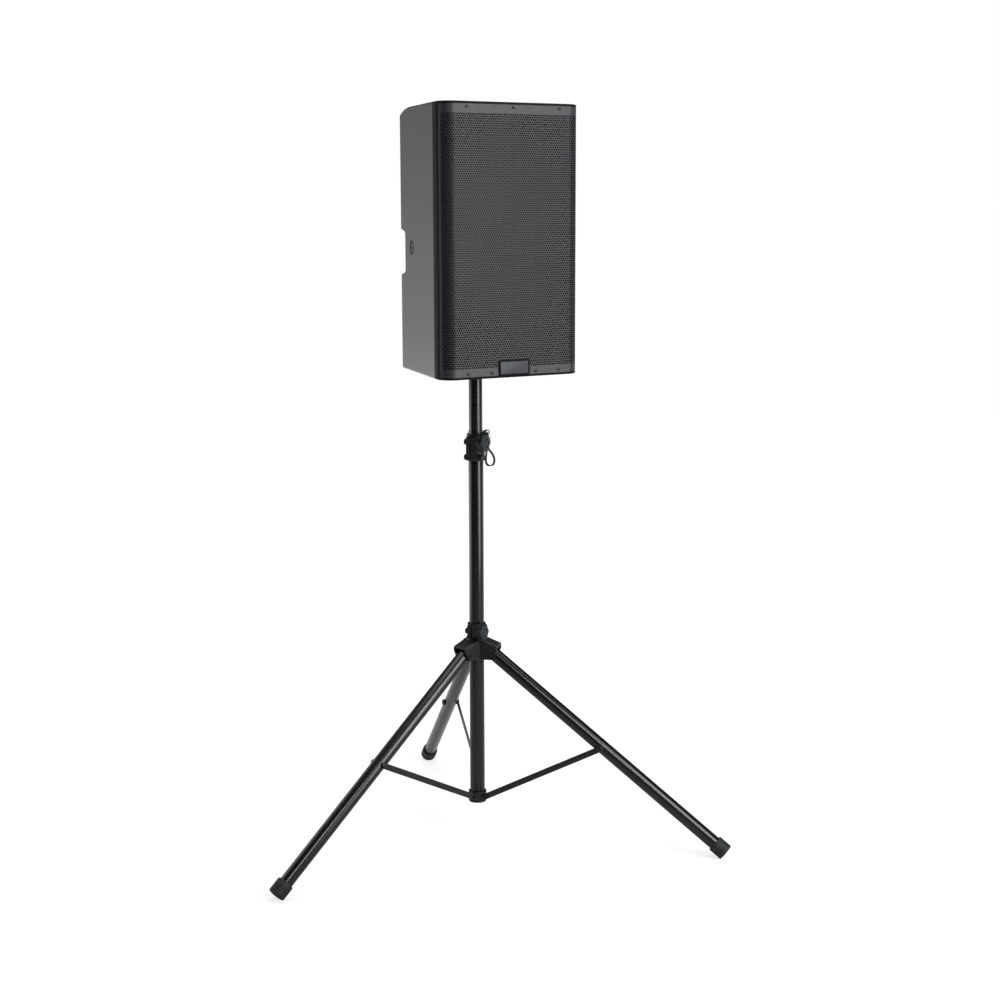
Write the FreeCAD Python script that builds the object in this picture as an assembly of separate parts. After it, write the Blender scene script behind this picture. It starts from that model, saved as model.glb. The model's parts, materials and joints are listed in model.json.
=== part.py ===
import FreeCAD, Part
import math
import os

# Powered loudspeaker on a folding tripod stand.  Millimetres, +Z up.
# The origin is on the floor on the axis of the mast.

V = FreeCAD.Vector
Z_AXIS = V(0, 0, 1)
os.makedirs("parts", exist_ok=True)

# ---- fits ----
PIN_FIT = 0.08            # radial running clearance of a pin in its hole
FREE_FIT = 0.3            # gap between curved faces of different bodies
SCREW_FIT = 0.05          # radial gap of a fastener in its own hole
SEAT_FIT = 0.05           # gap between two pieces that are screwed together

# ---- stand: tubes ----
OUTER_R = 17.7
OUTER_BORE_R = 16.2
OUTER_BOTTOM = 90.0
OUTER_TOP = 950.0
MAST_R = 15.875
MAST_WALL = 1.5
MAST_BOTTOM = 345.0
MAST_TOP = 1226.0
PIN_Z = 984.0
PIN_PITCH = 50.0
PIN_R = 3.5
PIN_HOLES = 14                      # in the mast, from top to bottom
PIN_HOLES_BELOW = 11                # of them below the one in use

# ---- stand: legs ----
LEG_AZIMUTHS = {"front": 223.7, "right": 343.7, "rear": 103.7}
STRUT_SIDES = {"front": 1, "right": -1, "rear": -1}
LEG_ANGLE = math.radians(52.04)     # from vertical, stand open
LEG_R = 15.875
LEG_WALL = 1.5
LEG_LENGTH = 714.0                  # pivot to the end of the rubber foot
PIVOT_RADIUS = 42.0
PIVOT_Z = 453.5
FOOT_R = 19.9
FOOT_LENGTH = 33.0
FOOT_SOLE = 4.0
STRUT_AT = 337.8                    # along the leg, from its pivot
LEG_PIN_R = 4.0

# ---- stand: struts and bottom ring ----
RING_R = 21.4
RING_BOTTOM = 84.5
RING_TOP = 111.0
RING_PIVOT_RADIUS = 26.0
RING_PIVOT_Z = 102.8
STRUT_WIDTH = 14.0
STRUT_THICK = 3.0
STRUT_PLANE = 17.0                  # inner face of a strut, beside the leg's middle plane
LUG_INNER = 12.5
LUG_OUTER = 16.7
LUG_R = 5.5
BOLT_R = 3.0
BOLT_HEAD_R = 6.0

# ---- stand: hub ----
HUB_BOTTOM = 442.0
HUB_SHOULDER = 489.0
HUB_TOP = 527.0
HUB_HALF_WIDTH = 22.5
HUB_ARM_END = 55.0
HUB_SLEEVE_R = 22.0
HUB_BORE_R = 19.2
HUB_CORE_R = 25.4

# ---- clamps: the bolt passes in front of the tube ----
CLAMP_TURN = -27.0                  # azimuth of both clamp bolts
CLAMP_BOLT_OFFSET = 25.8            # bolt axis to mast axis
CLAMP_BOLT_START = -14.5            # along the bolt, from the mast axis
CLAMP_EAR_LEFT = -9.0
CLAMP_EAR_DEPTH = 33.0
CLAMP_SLOT_DEPTH = 40.0
NUT_R = 7.0
NUT_START = -15.0
KNOB_LOBES = 6
KNOB_LOBE_R = 6.5
KNOB_NECK = 5.5
COLLAR_R = 21.0
COLLAR_KNOB_R = 24.5
COLLAR_KNOB_THICK = 16.0
COLLAR_EAR_RIGHT = 20.0
COLLAR_BUSH_R = 18.4
COLLAR_LIP_R = 17.2
COLLAR_BOTTOM = 917.0
COLLAR_TOP = 980.0
COLLAR_KNOB_Z = 963.0
COLLAR_BOLT_Z = 927.0
HUB_KNOB_Z = 511.0
HUB_KNOB_R = 22.0
HUB_KNOB_THICK = 14.0
HUB_EAR_RIGHT = 16.7
HUB_SLOT_BOTTOM = HUB_SHOULDER + 4
LEG_BOLT_HEAD_R = 6.2
LEG_BOLT_SINK = 2.4                 # depth of the pivot bolt's seat in the hub's side

# ---- lanyard of the locking pin ----
EYE_X = 28.0
EYE_R = 2.6
PULL_RING_R = 10.0
PULL_WIRE_R = 0.8
PULL_RING_TURN = 40.0
PULL_RING_Z = PIN_Z - EYE_R + PULL_WIRE_R + 0.1 - PULL_RING_R
CRIMP_LOW = 950.0
CRIMP_HIGH = 964.6
LANYARD_R = 1.4
LANYARD_ROUTE = [
    (29.8, 0.0, 950.0), (29.8, 0.0, 944.3), (33.6, -0.3, 938.2), (39.6, -0.5, 931.0),
    (43.3, -0.8, 921.5), (43.4, -0.9, 911.0), (39.7, -1.0, 905.5), (33.4, -1.0, 903.5),
    (27.2, -1.0, 905.5), (23.5, -0.9, 911.0), (23.2, -0.8, 921.0), (24.5, -0.5, 931.5),
    (26.2, 0.0, 942.0), (26.2, 0.0, 950.0),
]

# ---- loudspeaker cabinet, in its own frame: x right, y to the rear, z up ----
SPEAKER_TURN = 30.1
FRONT_Y = -177.3
REAR_Y = 172.7
BASE_Z = 1126.0
TOP_Z = 1728.0
FLAT_HALF = 144.5
FRONT_CORNER_R = 32.0
REAR_CORNER_R = 12.0
SIDE_TAPER = math.radians(13.1)
SEAM_Y = -121.0
WALL = 5.0
LIP = 5.0
GRILLE_EDGE_ANGLE = math.radians(75)
GRILLE_THICK = 1.5
GRILLE_SEAT = 2.4
BAFFLE_FRONT = -160.0
BAFFLE_BACK = -150.0
TOP_BAND = 23.0
BOTTOM_BAND = 20.0
POCKET_HALF = 154.0
TOP_REAR_R = 15.0
TOP_REAR_PROUD = 0.4                # the rear top round starts this far behind the rear face
TOP_SLOPE_R = 260.0                 # the top dips to the rear in a long round first
TOP_SLOPE_TURN = math.radians(18)

FAR = 300.0                         # half width of a cutting box that clears the cabinet
BELOW = 1000.0
ABOVE = 1800.0

GRILLE_SCREW_XS_TOP = (-118, 0, 118)
GRILLE_SCREW_XS_BOTTOM = (-117, -57, 57, 117)
BADGE_HALF = 39.5
BADGE_LOW = 1131.0
BADGE_HIGH = 1165.5
BADGE_FRAME = 3.0
BADGE_FACE_Y = -180.4
FOAM_FRONT_Y = -174.8
FOAM_THICK = 3.0

WOOFER_Z = 1302.0
WOOFER_HOLE_R = 141.0
WOOFER_FRAME_R = 153.0
WOOFER_SCREW_CIRCLE = 147.0
BASKET_R = 140.2
BASKET_WALL = 3.0
BASKET_BACK_Y = -86.0
BASKET_BACK_R = 80.5
BASKET_HOLE_R = 62.0
CONE_R = 115.5
CONE_FRONT_Y = -160.0
CONE_BACK_Y = -106.0
ROLL_OUTER_R = 136.4
ROLL_THICK = 1.4
ROLL_Y = -159.0
SPIDER_R = 83.5
SPIDER_Y = -96.5
SPIDER_THICK = 0.8
SPIDER_WAVE = 1.8
COIL_R = 37.0
DOME_R = 67.8                       # the dust cap is part of a sphere
DOME_THICK = 1.4
DOME_TOP_Y = -132.0
DOME_EDGE_Y = -113.5
MAGNET_R = 75.0

HORN_Z = 1590.0
HORN_WIDTH = 264.0
HORN_HEIGHT = 200.0
HORN_THROAT_R = 18.0
HORN_THROAT_Y = -52.0
HORN_RIM = 14.0                     # flat border round the mouth
HORN_WALL = 3.0
DRIVER_R = 48.0
DRIVER_LENGTH = 52.0

PORT_X = 122.0
PORT_Z = 1171.0
PORT_R = 20.5
PORT_LENGTH = 110.0

NOTCH_LOW = 1354.0                  # at the notch's floor; its mouth is taller
NOTCH_HIGH = 1446.0
NOTCH_FLARE = 9.0
NOTCH_Y = 127.0
NOTCH_X = 80.0
CUP_WALL = 3.0

PANEL_LOW = 1176.0
PANEL_HIGH = 1566.0
PANEL_HALF = 66.0
PANEL_SHELF = 8.0                   # width of the seat behind the panel's edge
PANEL_FACE = 163.0
PANEL_THICK = 3.0
PANEL_BACK = PANEL_FACE - PANEL_THICK
PANEL_MARGIN = 0.3

KNOB_PLACES = {
    "encoder_knob": (30.0, 1440.0, 12.0),
    "gain_knob_a": (-32.0, 1392.0, 8.5),
    "gain_knob_b": (32.0, 1392.0, 8.5),
}
KNOB_HEIGHT = 8.6
KNOB_RIBS = 18
BUTTON_PLACES = {"menu_button": (-32.0, 1448.0), "back_button": (-32.0, 1430.0)}
BUTTON_R = 4.0
JACK_PLACES = {
    "in_a": (-32.0, 1354.0),
    "in_b": (32.0, 1354.0),
    "out_a": (-32.0, 1310.0),
    "out_b": (32.0, 1310.0),
}
JACK_R = 11.5
JACK_DEPTH = 10.0
JACK_BACK = 136.0
JACK_FLANGE = 1.6
MINI_JACK_Z = 1332.0
MINI_JACK_R = 4.0
ROCKER = (30.0, 1222.0)
INLET = (-26.0, 1222.0)
INLET_R = 13.0
INLET_FLANGE = 2.0
DISPLAY_Z = 1490.0
FIN_LOW = 1520.0
FIN_HIGH = 1558.0
FIN_COUNT = 11
TRANSFORMER_Z = 1262.0
TRANSFORMER_R = 42.0

SOCKET_R = 17.9
SOCKET_OUTER_R = 22.0
SOCKET_FLANGE_R = 38.0
SOCKET_TOP = 1230.4
ADAPTER_TOP = 1230.0

M10_SIDE_S = 210.0
M10_SIDE_Z = 1411.0
M10_TOP_FRONT_Y = -95.0
M10_TOP_REAR_Y = 58.0
M10_BORE_R = 4.25
M10_BODY_R = 8.0
M10_LENGTH = 22.0
M10_RECESS_R = 17.0
M10_RECESS = 2.0


FOOT_PLACES = [(-100, -70), (100, -70), (-68, 110), (68, 110)]
PAD_R = 11.0
PAD_HEIGHT = 3.5


# ---- general helpers ----

def box(x0, x1, y0, y1, z0, z1):
    return Part.makeBox(x1 - x0, y1 - y0, z1 - z0, V(x0, y0, z0))


def rod(radius, start, end):
    """Round bar between two points."""
    start = V(*start)
    end = V(*end)
    return Part.makeCylinder(radius, (end - start).Length, start, end - start)


def zone(y0, y1, low=BELOW, high=ABOVE):
    """Slice of space across the whole cabinet."""
    return box(-FAR, FAR, y0, y1, low, high)


def pipe(outer, inner, start, end):
    return rod(outer, start, end).cut(rod(inner, start, end))


def fuse(shapes):
    joined = shapes[0]
    for shape in shapes[1:]:
        joined = joined.fuse(shape)
    return joined.removeSplitter()


def turned(shape, degrees, centre=V(0, 0, 0), axis=Z_AXIS):
    copy = shape.copy()
    copy.rotate(centre, axis, degrees)
    return copy


def moved(shape, x=0, y=0, z=0):
    copy = shape.copy()
    copy.translate(V(x, y, z))
    return copy


def prism(points, direction):
    """Straight extrusion of a flat outline of straight edges."""
    corners = [V(*p) for p in points]
    return Part.Face(Part.makePolygon(corners + corners[:1])).extrude(V(*direction))


def revolved(points, origin, axis, across):
    """Solid of revolution; each point is (radius, distance along the axis)."""
    origin = V(*origin)
    axis = V(*axis)
    across = V(*across)
    corners = [origin + across * r + axis * h for r, h in points]
    return Part.Face(Part.makePolygon(corners + corners[:1])).revolve(origin, axis, 360)


def rounded(shape, radius, keep):
    """Fillet of the edges that keep() picks; the sharp shape if it can't be made."""
    edges = [edge for edge in shape.Edges if keep(edge)]
    try:
        result = shape.makeFillet(radius, edges)
    except Exception:
        return shape
    if result.isValid() and result.Volume > 0:
        return result
    return shape


def hexagon(across_flats, start, end):
    """Hexagonal bar between two points on a line along X, Y or Z."""
    start = V(*start)
    end = V(*end)
    axis = (end - start).normalize()
    side = axis.cross(Z_AXIS)
    if side.Length < 0.5:
        side = V(1, 0, 0)
    side.normalize()
    up = axis.cross(side)
    radius = across_flats / math.sqrt(3)
    corners = []
    for k in range(6):
        a = math.radians(60 * k)
        corners.append(start + side * (radius * math.cos(a)) + up * (radius * math.sin(a)))
    return Part.Face(Part.makePolygon(corners + corners[:1])).extrude(end - start)


def export(name, *solids):
    """Write one node; several solids stay separate pieces of that node."""
    parts = []
    for shape in solids:
        parts.extend(shape.Solids)
    for solid in parts:
        if not solid.isValid() or solid.Volume <= 0:
            print("BAD SOLID", name, solid.Volume)
    whole = parts[0] if len(parts) == 1 else Part.makeCompound(parts)
    whole.exportStep("parts/%s.step" % name)


# ---- stand: column ----

def outer_tube():
    return pipe(OUTER_R, OUTER_BORE_R, (0, 0, OUTER_BOTTOM), (0, 0, OUTER_TOP))


def bottom_ring():
    cup = rod(RING_R, (0, 0, RING_BOTTOM), (0, 0, RING_TOP))
    cup = rounded(cup, 2.0, lambda e: e.BoundBox.ZMax < RING_BOTTOM + 0.1)
    shapes = [cup]
    holes = [rod(OUTER_R, (0, 0, OUTER_BOTTOM), (0, 0, RING_TOP + 1))]
    for leg, azimuth in LEG_AZIMUTHS.items():
        side = STRUT_SIDES[leg]
        near, far = sorted((side * LUG_INNER, side * LUG_OUTER))
        plate = box(11, RING_PIVOT_RADIUS, near, far, RING_PIVOT_Z - LUG_R, RING_PIVOT_Z + LUG_R)
        ear = rod(LUG_R, (RING_PIVOT_RADIUS, near, RING_PIVOT_Z), (RING_PIVOT_RADIUS, far, RING_PIVOT_Z))
        hole = rod(BOLT_R + SCREW_FIT, (RING_PIVOT_RADIUS, near - 1, RING_PIVOT_Z),
                   (RING_PIVOT_RADIUS, far + 1, RING_PIVOT_Z))
        shapes.append(turned(plate.fuse(ear), azimuth))
        holes.append(turned(hole, azimuth))
    ring = fuse(shapes)
    for hole in holes:
        ring = ring.cut(hole)
    return ring


def ring_bolts():
    bolts = []
    for leg, azimuth in LEG_AZIMUTHS.items():
        side = STRUT_SIDES[leg]
        x, z = RING_PIVOT_RADIUS, RING_PIVOT_Z
        outside = STRUT_PLANE + STRUT_THICK + 0.3
        shank = rod(BOLT_R, (x, side * LUG_INNER, z), (x, side * (outside + 1), z))
        head = rod(BOLT_HEAD_R, (x, side * outside, z), (x, side * (outside + 3.5), z))
        head = rounded(head, 1.2, lambda e: abs(abs(e.BoundBox.YMax) - outside - 3.5) < 0.1
                       or abs(abs(e.BoundBox.YMin) - outside - 3.5) < 0.1)
        bolts.append(turned(shank.fuse(head), azimuth))
    return bolts


def ears(right, low, high):
    """Clamp ears in front of a sleeve, in the clamp's frame: bolt along X, ears towards -Y."""
    block = box(CLAMP_EAR_LEFT, right, -CLAMP_EAR_DEPTH, -12, low, high)
    length = right - CLAMP_EAR_LEFT
    return rounded(block, 4.0, lambda e: e.BoundBox.XLength > length - 0.1
                   and e.BoundBox.YMax < 0.1 - CLAMP_EAR_DEPTH)


def nut_seat(z):
    """Room beside a sleeve for the round nut of its clamp bolt."""
    y = -CLAMP_BOLT_OFFSET
    return rod(NUT_R + 0.5, (NUT_START - 7, y, z), (CLAMP_EAR_LEFT, y, z))


def clamp_bolt_hole(z):
    y = -CLAMP_BOLT_OFFSET
    return rod(BOLT_R + FREE_FIT, (NUT_START - 5, y, z), (30, y, z))


def round_nut(z, bore):
    y = -CLAMP_BOLT_OFFSET
    nut = rod(NUT_R, (NUT_START, y, z), (CLAMP_EAR_LEFT, y, z))
    nut = rounded(nut, 1.2, lambda e: e.BoundBox.XMax < NUT_START + 0.1)
    return nut.cut(rod(bore, (NUT_START - 1, y, z), (CLAMP_EAR_LEFT + 1, y, z)))


def upper_collar():
    body = rod(COLLAR_R, (0, 0, COLLAR_BOTTOM), (0, 0, COLLAR_TOP))
    body = body.fuse(ears(COLLAR_EAR_RIGHT, COLLAR_BOTTOM + 2, COLLAR_TOP - 4))
    body = body.cut(rod(OUTER_R, (0, 0, COLLAR_BOTTOM - 1), (0, 0, OUTER_TOP)))
    body = body.cut(rod(COLLAR_BUSH_R + 0.1, (0, 0, OUTER_TOP), (0, 0, COLLAR_TOP - 2)))
    body = body.cut(rod(COLLAR_LIP_R, (0, 0, OUTER_TOP), (0, 0, COLLAR_TOP + 1)))
    body = body.cut(box(3, 5, -CLAMP_SLOT_DEPTH, 0, COLLAR_BOTTOM - 1, COLLAR_TOP + 1))
    for z in (COLLAR_KNOB_Z, COLLAR_BOLT_Z):
        body = body.cut(clamp_bolt_hole(z)).cut(nut_seat(z))
    return turned(body.removeSplitter(), CLAMP_TURN)


def collar_bush():
    return pipe(COLLAR_BUSH_R, MAST_R + FREE_FIT, (0, 0, OUTER_TOP + 0.2), (0, 0, COLLAR_TOP - 2.2))


def collar_bolts():
    """Lower bolt with its nut and its long cap, and the nut of the clamp bolt above it."""
    y, z = -CLAMP_BOLT_OFFSET, COLLAR_BOLT_Z
    cap_start, cap_end = COLLAR_EAR_RIGHT, COLLAR_EAR_RIGHT + 12
    shank = rod(BOLT_R, (NUT_START + 1, y, z), (cap_end - 2, y, z))
    cap = rod(7.6, (cap_start, y, z), (cap_end, y, z))
    cap = rounded(cap, 1.5, lambda e: e.BoundBox.XMin > cap_end - 0.1)
    cap = cap.cut(rod(BOLT_R + SCREW_FIT, (cap_start - 1, y, z), (cap_end - 1.5, y, z)))
    lower = round_nut(z, BOLT_R + SCREW_FIT)
    upper = round_nut(COLLAR_KNOB_Z, BOLT_R + PIN_FIT)
    return [turned(s, CLAMP_TURN) for s in (shank, lower, cap, upper)]


def clamp_knob(ear, z, radius, thick):
    """Lobed knob with its bolt, in the clamp's frame; ear is the face that it presses on."""
    y = -CLAMP_BOLT_OFFSET
    seat = ear + FREE_FIT
    face = seat + KNOB_NECK
    back = face + thick
    centre_r = radius - KNOB_LOBE_R
    neck = Part.makeCone(8.5, 12.0, KNOB_NECK + 0.5, V(seat, y, z), V(1, 0, 0))
    plate = rod(centre_r + 1.5, (face, y, z), (back, y, z))
    for k in range(KNOB_LOBES):
        a = math.radians(360.0 / KNOB_LOBES * k + 30)
        py, pz = y + centre_r * math.cos(a), z + centre_r * math.sin(a)
        plate = plate.fuse(rod(KNOB_LOBE_R, (face, py, pz), (back, py, pz)))
    plate = plate.removeSplitter()
    plate = rounded(plate, 2.0, lambda e: e.BoundBox.XLength < 0.1)
    knob = plate.fuse(neck).removeSplitter()
    knob = knob.cut(rod(BOLT_R, (seat - 1, y, z), (face + 8, y, z)))
    bolt = rod(BOLT_R, (CLAMP_BOLT_START, y, z), (face + 8, y, z))
    return [turned(s, CLAMP_TURN) for s in (knob, bolt)]


def inner_mast():
    mast = pipe(MAST_R, MAST_R - MAST_WALL, (0, 0, MAST_BOTTOM), (0, 0, MAST_TOP))
    for k in range(PIN_HOLES):
        z = PIN_Z + PIN_PITCH * (k - PIN_HOLES_BELOW)
        mast = mast.cut(rod(PIN_R + PIN_FIT, (-20, 0, z), (20, 0, z)))
    return mast


def mast_bush():
    """Glide that closes the lower end of the mast."""
    low, high = MAST_BOTTOM - 6, MAST_BOTTOM + 18
    plug = rod(MAST_R - MAST_WALL, (0, 0, MAST_BOTTOM), (0, 0, high))
    flange = rod(MAST_R, (0, 0, low), (0, 0, MAST_BOTTOM))
    return plug.fuse(flange).removeSplitter().cut(rod(8, (0, 0, low - 1), (0, 0, high + 1)))


def locking_pin():
    shank = rod(PIN_R, (-16.6, 0, PIN_Z), (22, 0, PIN_Z))
    tip = Part.makeCone(PIN_R - 1.2, PIN_R, 1.4, V(-18, 0, PIN_Z), V(1, 0, 0))
    head = rod(5.5, (21.8, 0, PIN_Z), (24.4, 0, PIN_Z))
    eye = box(24.2, EYE_X, -1.2, 1.2, PIN_Z - 5, PIN_Z + 5).fuse(
        rod(5, (EYE_X, -1.2, PIN_Z), (EYE_X, 1.2, PIN_Z)))
    pin = fuse([shank, tip, head, eye])
    pin = pin.cut(rod(EYE_R, (EYE_X, -3, PIN_Z), (EYE_X, 3, PIN_Z)))
    ring = Part.makeTorus(PULL_RING_R, PULL_WIRE_R, V(EYE_X, 0, PULL_RING_Z), V(1, 0, 0))
    ring = turned(ring, PULL_RING_TURN, V(EYE_X, 0, PULL_RING_Z))
    return [pin, ring]


def tangent_arc_path(route):
    """Straight runs joined by arcs, each as large as its two runs allow."""
    points = [V(*p) for p in route]
    edges = []
    radii = []
    start = points[0]
    for before, corner, after in zip(points, points[1:], points[2:]):
        back = (before - corner).normalize()
        ahead = (after - corner).normalize()
        turn = math.pi - back.getAngle(ahead)
        reach = 0.45 * min((before - corner).Length, (after - corner).Length)
        radius = reach / math.tan(turn / 2)
        radii.append(radius)
        enter = corner + back * reach
        leave = corner + ahead * reach
        middle_way = (back + ahead).normalize()
        centre = corner + middle_way * (radius / math.cos(turn / 2))
        middle = centre - middle_way * radius
        edges.append(Part.LineSegment(start, enter).toShape())
        edges.append(Part.Arc(enter, middle, leave).toShape())
        start = leave
    edges.append(Part.LineSegment(start, points[-1]).toShape())
    return Part.Wire(edges), radii


def lanyard():
    path, radii = tangent_arc_path(LANYARD_ROUTE)
    first = V(*LANYARD_ROUTE[0])
    ahead = V(*LANYARD_ROUTE[1]) - first
    section = Part.Wire(Part.Circle(first, ahead, LANYARD_R).toShape())
    cord = path.makePipeShell([section], True, True)
    print("lanyard length %.1f mm, radii" % path.Length, [round(r, 1) for r in radii])
    print("lanyard volume %.1f of %.1f" % (cord.Volume, math.pi * LANYARD_R ** 2 * path.Length))
    return cord


def lanyard_crimp():
    """Sleeve that grips both ends of the lanyard and hangs on the pull ring."""
    body = box(EYE_X - 4.0, EYE_X + 4.0, -2.4, 2.4, CRIMP_LOW, CRIMP_HIGH)
    body = rounded(body, 1.8, lambda e: e.BoundBox.ZLength > CRIMP_HIGH - CRIMP_LOW - 0.1)
    ring_bottom = PULL_RING_Z - PULL_RING_R
    slot = box(EYE_X - 12, EYE_X + 12, -1.5, 1.5, ring_bottom - 1.5, ring_bottom + 1.9)
    slot = turned(slot, 90 + PULL_RING_TURN, V(EYE_X, 0, 0))
    return body.cut(slot)


# ---- stand: hub ----

def hub_slot():
    """Gap between the ears, which the clamp bolt closes."""
    return box(2, 4, -CLAMP_SLOT_DEPTH, 0, HUB_SLOT_BOTTOM, HUB_TOP + 1)


def hub():
    arm_outline = [(0, 0, HUB_BOTTOM), (45, 0, HUB_BOTTOM), (HUB_ARM_END, 0, 464), (HUB_ARM_END, 0, 477),
                   (22, 0, HUB_SHOULDER), (0, 0, HUB_SHOULDER)]
    arm = moved(prism(arm_outline, (0, 2 * HUB_HALF_WIDTH, 0)), y=-HUB_HALF_WIDTH)
    arm = rounded(arm, 7.0, lambda e: e.BoundBox.YLength < 0.1 and e.BoundBox.XLength > 30
                  and e.BoundBox.ZMax > HUB_SHOULDER - 1 and e.BoundBox.ZMin < HUB_SHOULDER - 5)
    body = rod(HUB_CORE_R, (0, 0, HUB_BOTTOM), (0, 0, HUB_SHOULDER + 3))
    body = body.fuse(rod(HUB_SLEEVE_R, (0, 0, HUB_SHOULDER), (0, 0, HUB_TOP)))
    for azimuth in LEG_AZIMUTHS.values():
        body = body.fuse(turned(arm, azimuth))
    lugs = ears(HUB_EAR_RIGHT, HUB_SHOULDER + 6, HUB_TOP - 1)
    body = body.fuse(turned(lugs, CLAMP_TURN))
    body = body.removeSplitter()
    fork = box(HUB_CORE_R + 0.2, 70, -LEG_R - 0.5, LEG_R + 0.5, 400, 470.3)
    pin_hole = rod(LEG_PIN_R + SCREW_FIT, (PIVOT_RADIUS, -40, PIVOT_Z), (PIVOT_RADIUS, 40, PIVOT_Z))
    sink = rod(LEG_BOLT_HEAD_R + 0.4, (PIVOT_RADIUS, HUB_HALF_WIDTH - LEG_BOLT_SINK - 0.1, PIVOT_Z),
               (PIVOT_RADIUS, HUB_HALF_WIDTH + 1, PIVOT_Z))
    other_sink = sink.mirror(V(0, 0, 0), V(0, 1, 0))
    for azimuth in LEG_AZIMUTHS.values():
        for tool in (fork, pin_hole, sink, other_sink):
            body = body.cut(turned(tool, azimuth))
    body = body.cut(rod(HUB_BORE_R, (0, 0, 400), (0, 0, HUB_TOP + 1)))
    for tool in (hub_slot(), clamp_bolt_hole(HUB_KNOB_Z), nut_seat(HUB_KNOB_Z)):
        body = body.cut(turned(tool, CLAMP_TURN))
    return body


def hub_bush():
    bush = pipe(HUB_BORE_R - 0.05, OUTER_R + FREE_FIT, (0, 0, HUB_BOTTOM + 1), (0, 0, HUB_TOP - 1))
    return bush.cut(turned(hub_slot(), CLAMP_TURN))


def hub_bolts():
    """Three leg pivot bolts with their nuts, and the nut of the clamp bolt."""
    pieces = []
    seat = HUB_HALF_WIDTH - LEG_BOLT_SINK
    x, z = PIVOT_RADIUS, PIVOT_Z
    for azimuth in LEG_AZIMUTHS.values():
        shank = rod(LEG_PIN_R, (x, -seat - 2.8, z), (x, seat, z))
        head = rod(LEG_BOLT_HEAD_R, (x, seat, z), (x, seat + 3.0, z))
        socket = hexagon(4.0, (x, seat + 1.2, z), (x, seat + 4, z))
        bolt = shank.fuse(head).cut(socket)
        nut = rod(LEG_BOLT_HEAD_R, (x, -seat - 3.0, z), (x, -seat, z))
        nut = nut.cut(rod(LEG_PIN_R + SCREW_FIT, (x, -seat - 4, z), (x, 1 - seat, z)))
        pieces += [turned(bolt, azimuth), turned(nut, azimuth)]
    pieces.append(turned(round_nut(HUB_KNOB_Z, BOLT_R + PIN_FIT), CLAMP_TURN))
    return pieces


# ---- stand: one leg, built along +X and then turned to its azimuth ----

def along_leg(distance):
    return (PIVOT_RADIUS + distance * math.sin(LEG_ANGLE), 0, PIVOT_Z - distance * math.cos(LEG_ANGLE))


def leg_section(radius, start, end):
    return rod(radius, along_leg(start), along_leg(end))


def swing_head(radius):
    """Round nose that lets the top of a leg turn in the hub."""
    across = rod(LEG_R, (PIVOT_RADIUS, -30, PIVOT_Z), (PIVOT_RADIUS, 30, PIVOT_Z))
    return leg_section(radius, -LEG_R - 2, 0).common(across)


def leg_tube():
    outside = leg_section(LEG_R, 0, LEG_LENGTH - FOOT_SOLE).fuse(swing_head(LEG_R)).removeSplitter()
    tube = outside.cut(leg_section(LEG_R - LEG_WALL, -LEG_R - 4, LEG_LENGTH))
    tube = tube.cut(rod(LEG_PIN_R + 0.6, (PIVOT_RADIUS, -30, PIVOT_Z), (PIVOT_RADIUS, 30, PIVOT_Z)))
    x, _, z = along_leg(STRUT_AT)
    return tube.cut(rod(BOLT_R + SCREW_FIT, (x, -30, z), (x, 30, z)))


def leg_fittings(side):
    """Nose plug of the tube, the strut bolt, its two saddles and its round nut."""
    inner = LEG_R - LEG_WALL - 0.05
    plug = swing_head(inner).fuse(leg_section(inner, 0, 28)).removeSplitter()
    plug = plug.cut(rod(LEG_PIN_R + PIN_FIT, (PIVOT_RADIUS, -30, PIVOT_Z), (PIVOT_RADIUS, 30, PIVOT_Z)))
    x, _, z = along_leg(STRUT_AT)
    face = STRUT_PLANE - 0.35
    bore = leg_section(LEG_R, STRUT_AT - 20, STRUT_AT + 20)
    bolt = rod(BOLT_R, (x, -side * 20.5, z), (x, side * face, z))
    pieces = [plug, bolt]
    for sign, end in ((side, face), (-side, face)):
        saddle = rod(7.5, (x, sign * 11, z), (x, sign * end, z)).cut(bore)
        pieces.append(saddle.cut(rod(BOLT_R + SCREW_FIT, (x, sign * 5, z), (x, sign * 25, z))))
    nut = rod(7.0, (x, -side * face, z), (x, -side * (face + 4.2), z))
    pieces.append(nut.cut(rod(BOLT_R + SCREW_FIT, (x, -side * 15, z), (x, -side * 20.8, z))))
    return pieces


def foot():
    cap = leg_section(FOOT_R, LEG_LENGTH - FOOT_LENGTH, LEG_LENGTH)
    cap = rounded(cap, 1.6, lambda e: True)
    cap = cap.cut(leg_section(LEG_R, LEG_LENGTH - FOOT_LENGTH - 5, LEG_LENGTH - FOOT_SOLE))
    for k in range(2):
        at = LEG_LENGTH - 9.0 - 5.0 * k
        groove = leg_section(FOOT_R + 2, at - 1.0, at).cut(leg_section(FOOT_R - 0.8, at - 1.5, at + 0.5))
        cap = cap.cut(groove)
    return cap.cut(box(300, 900, -60, 60, -50, 0))


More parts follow.
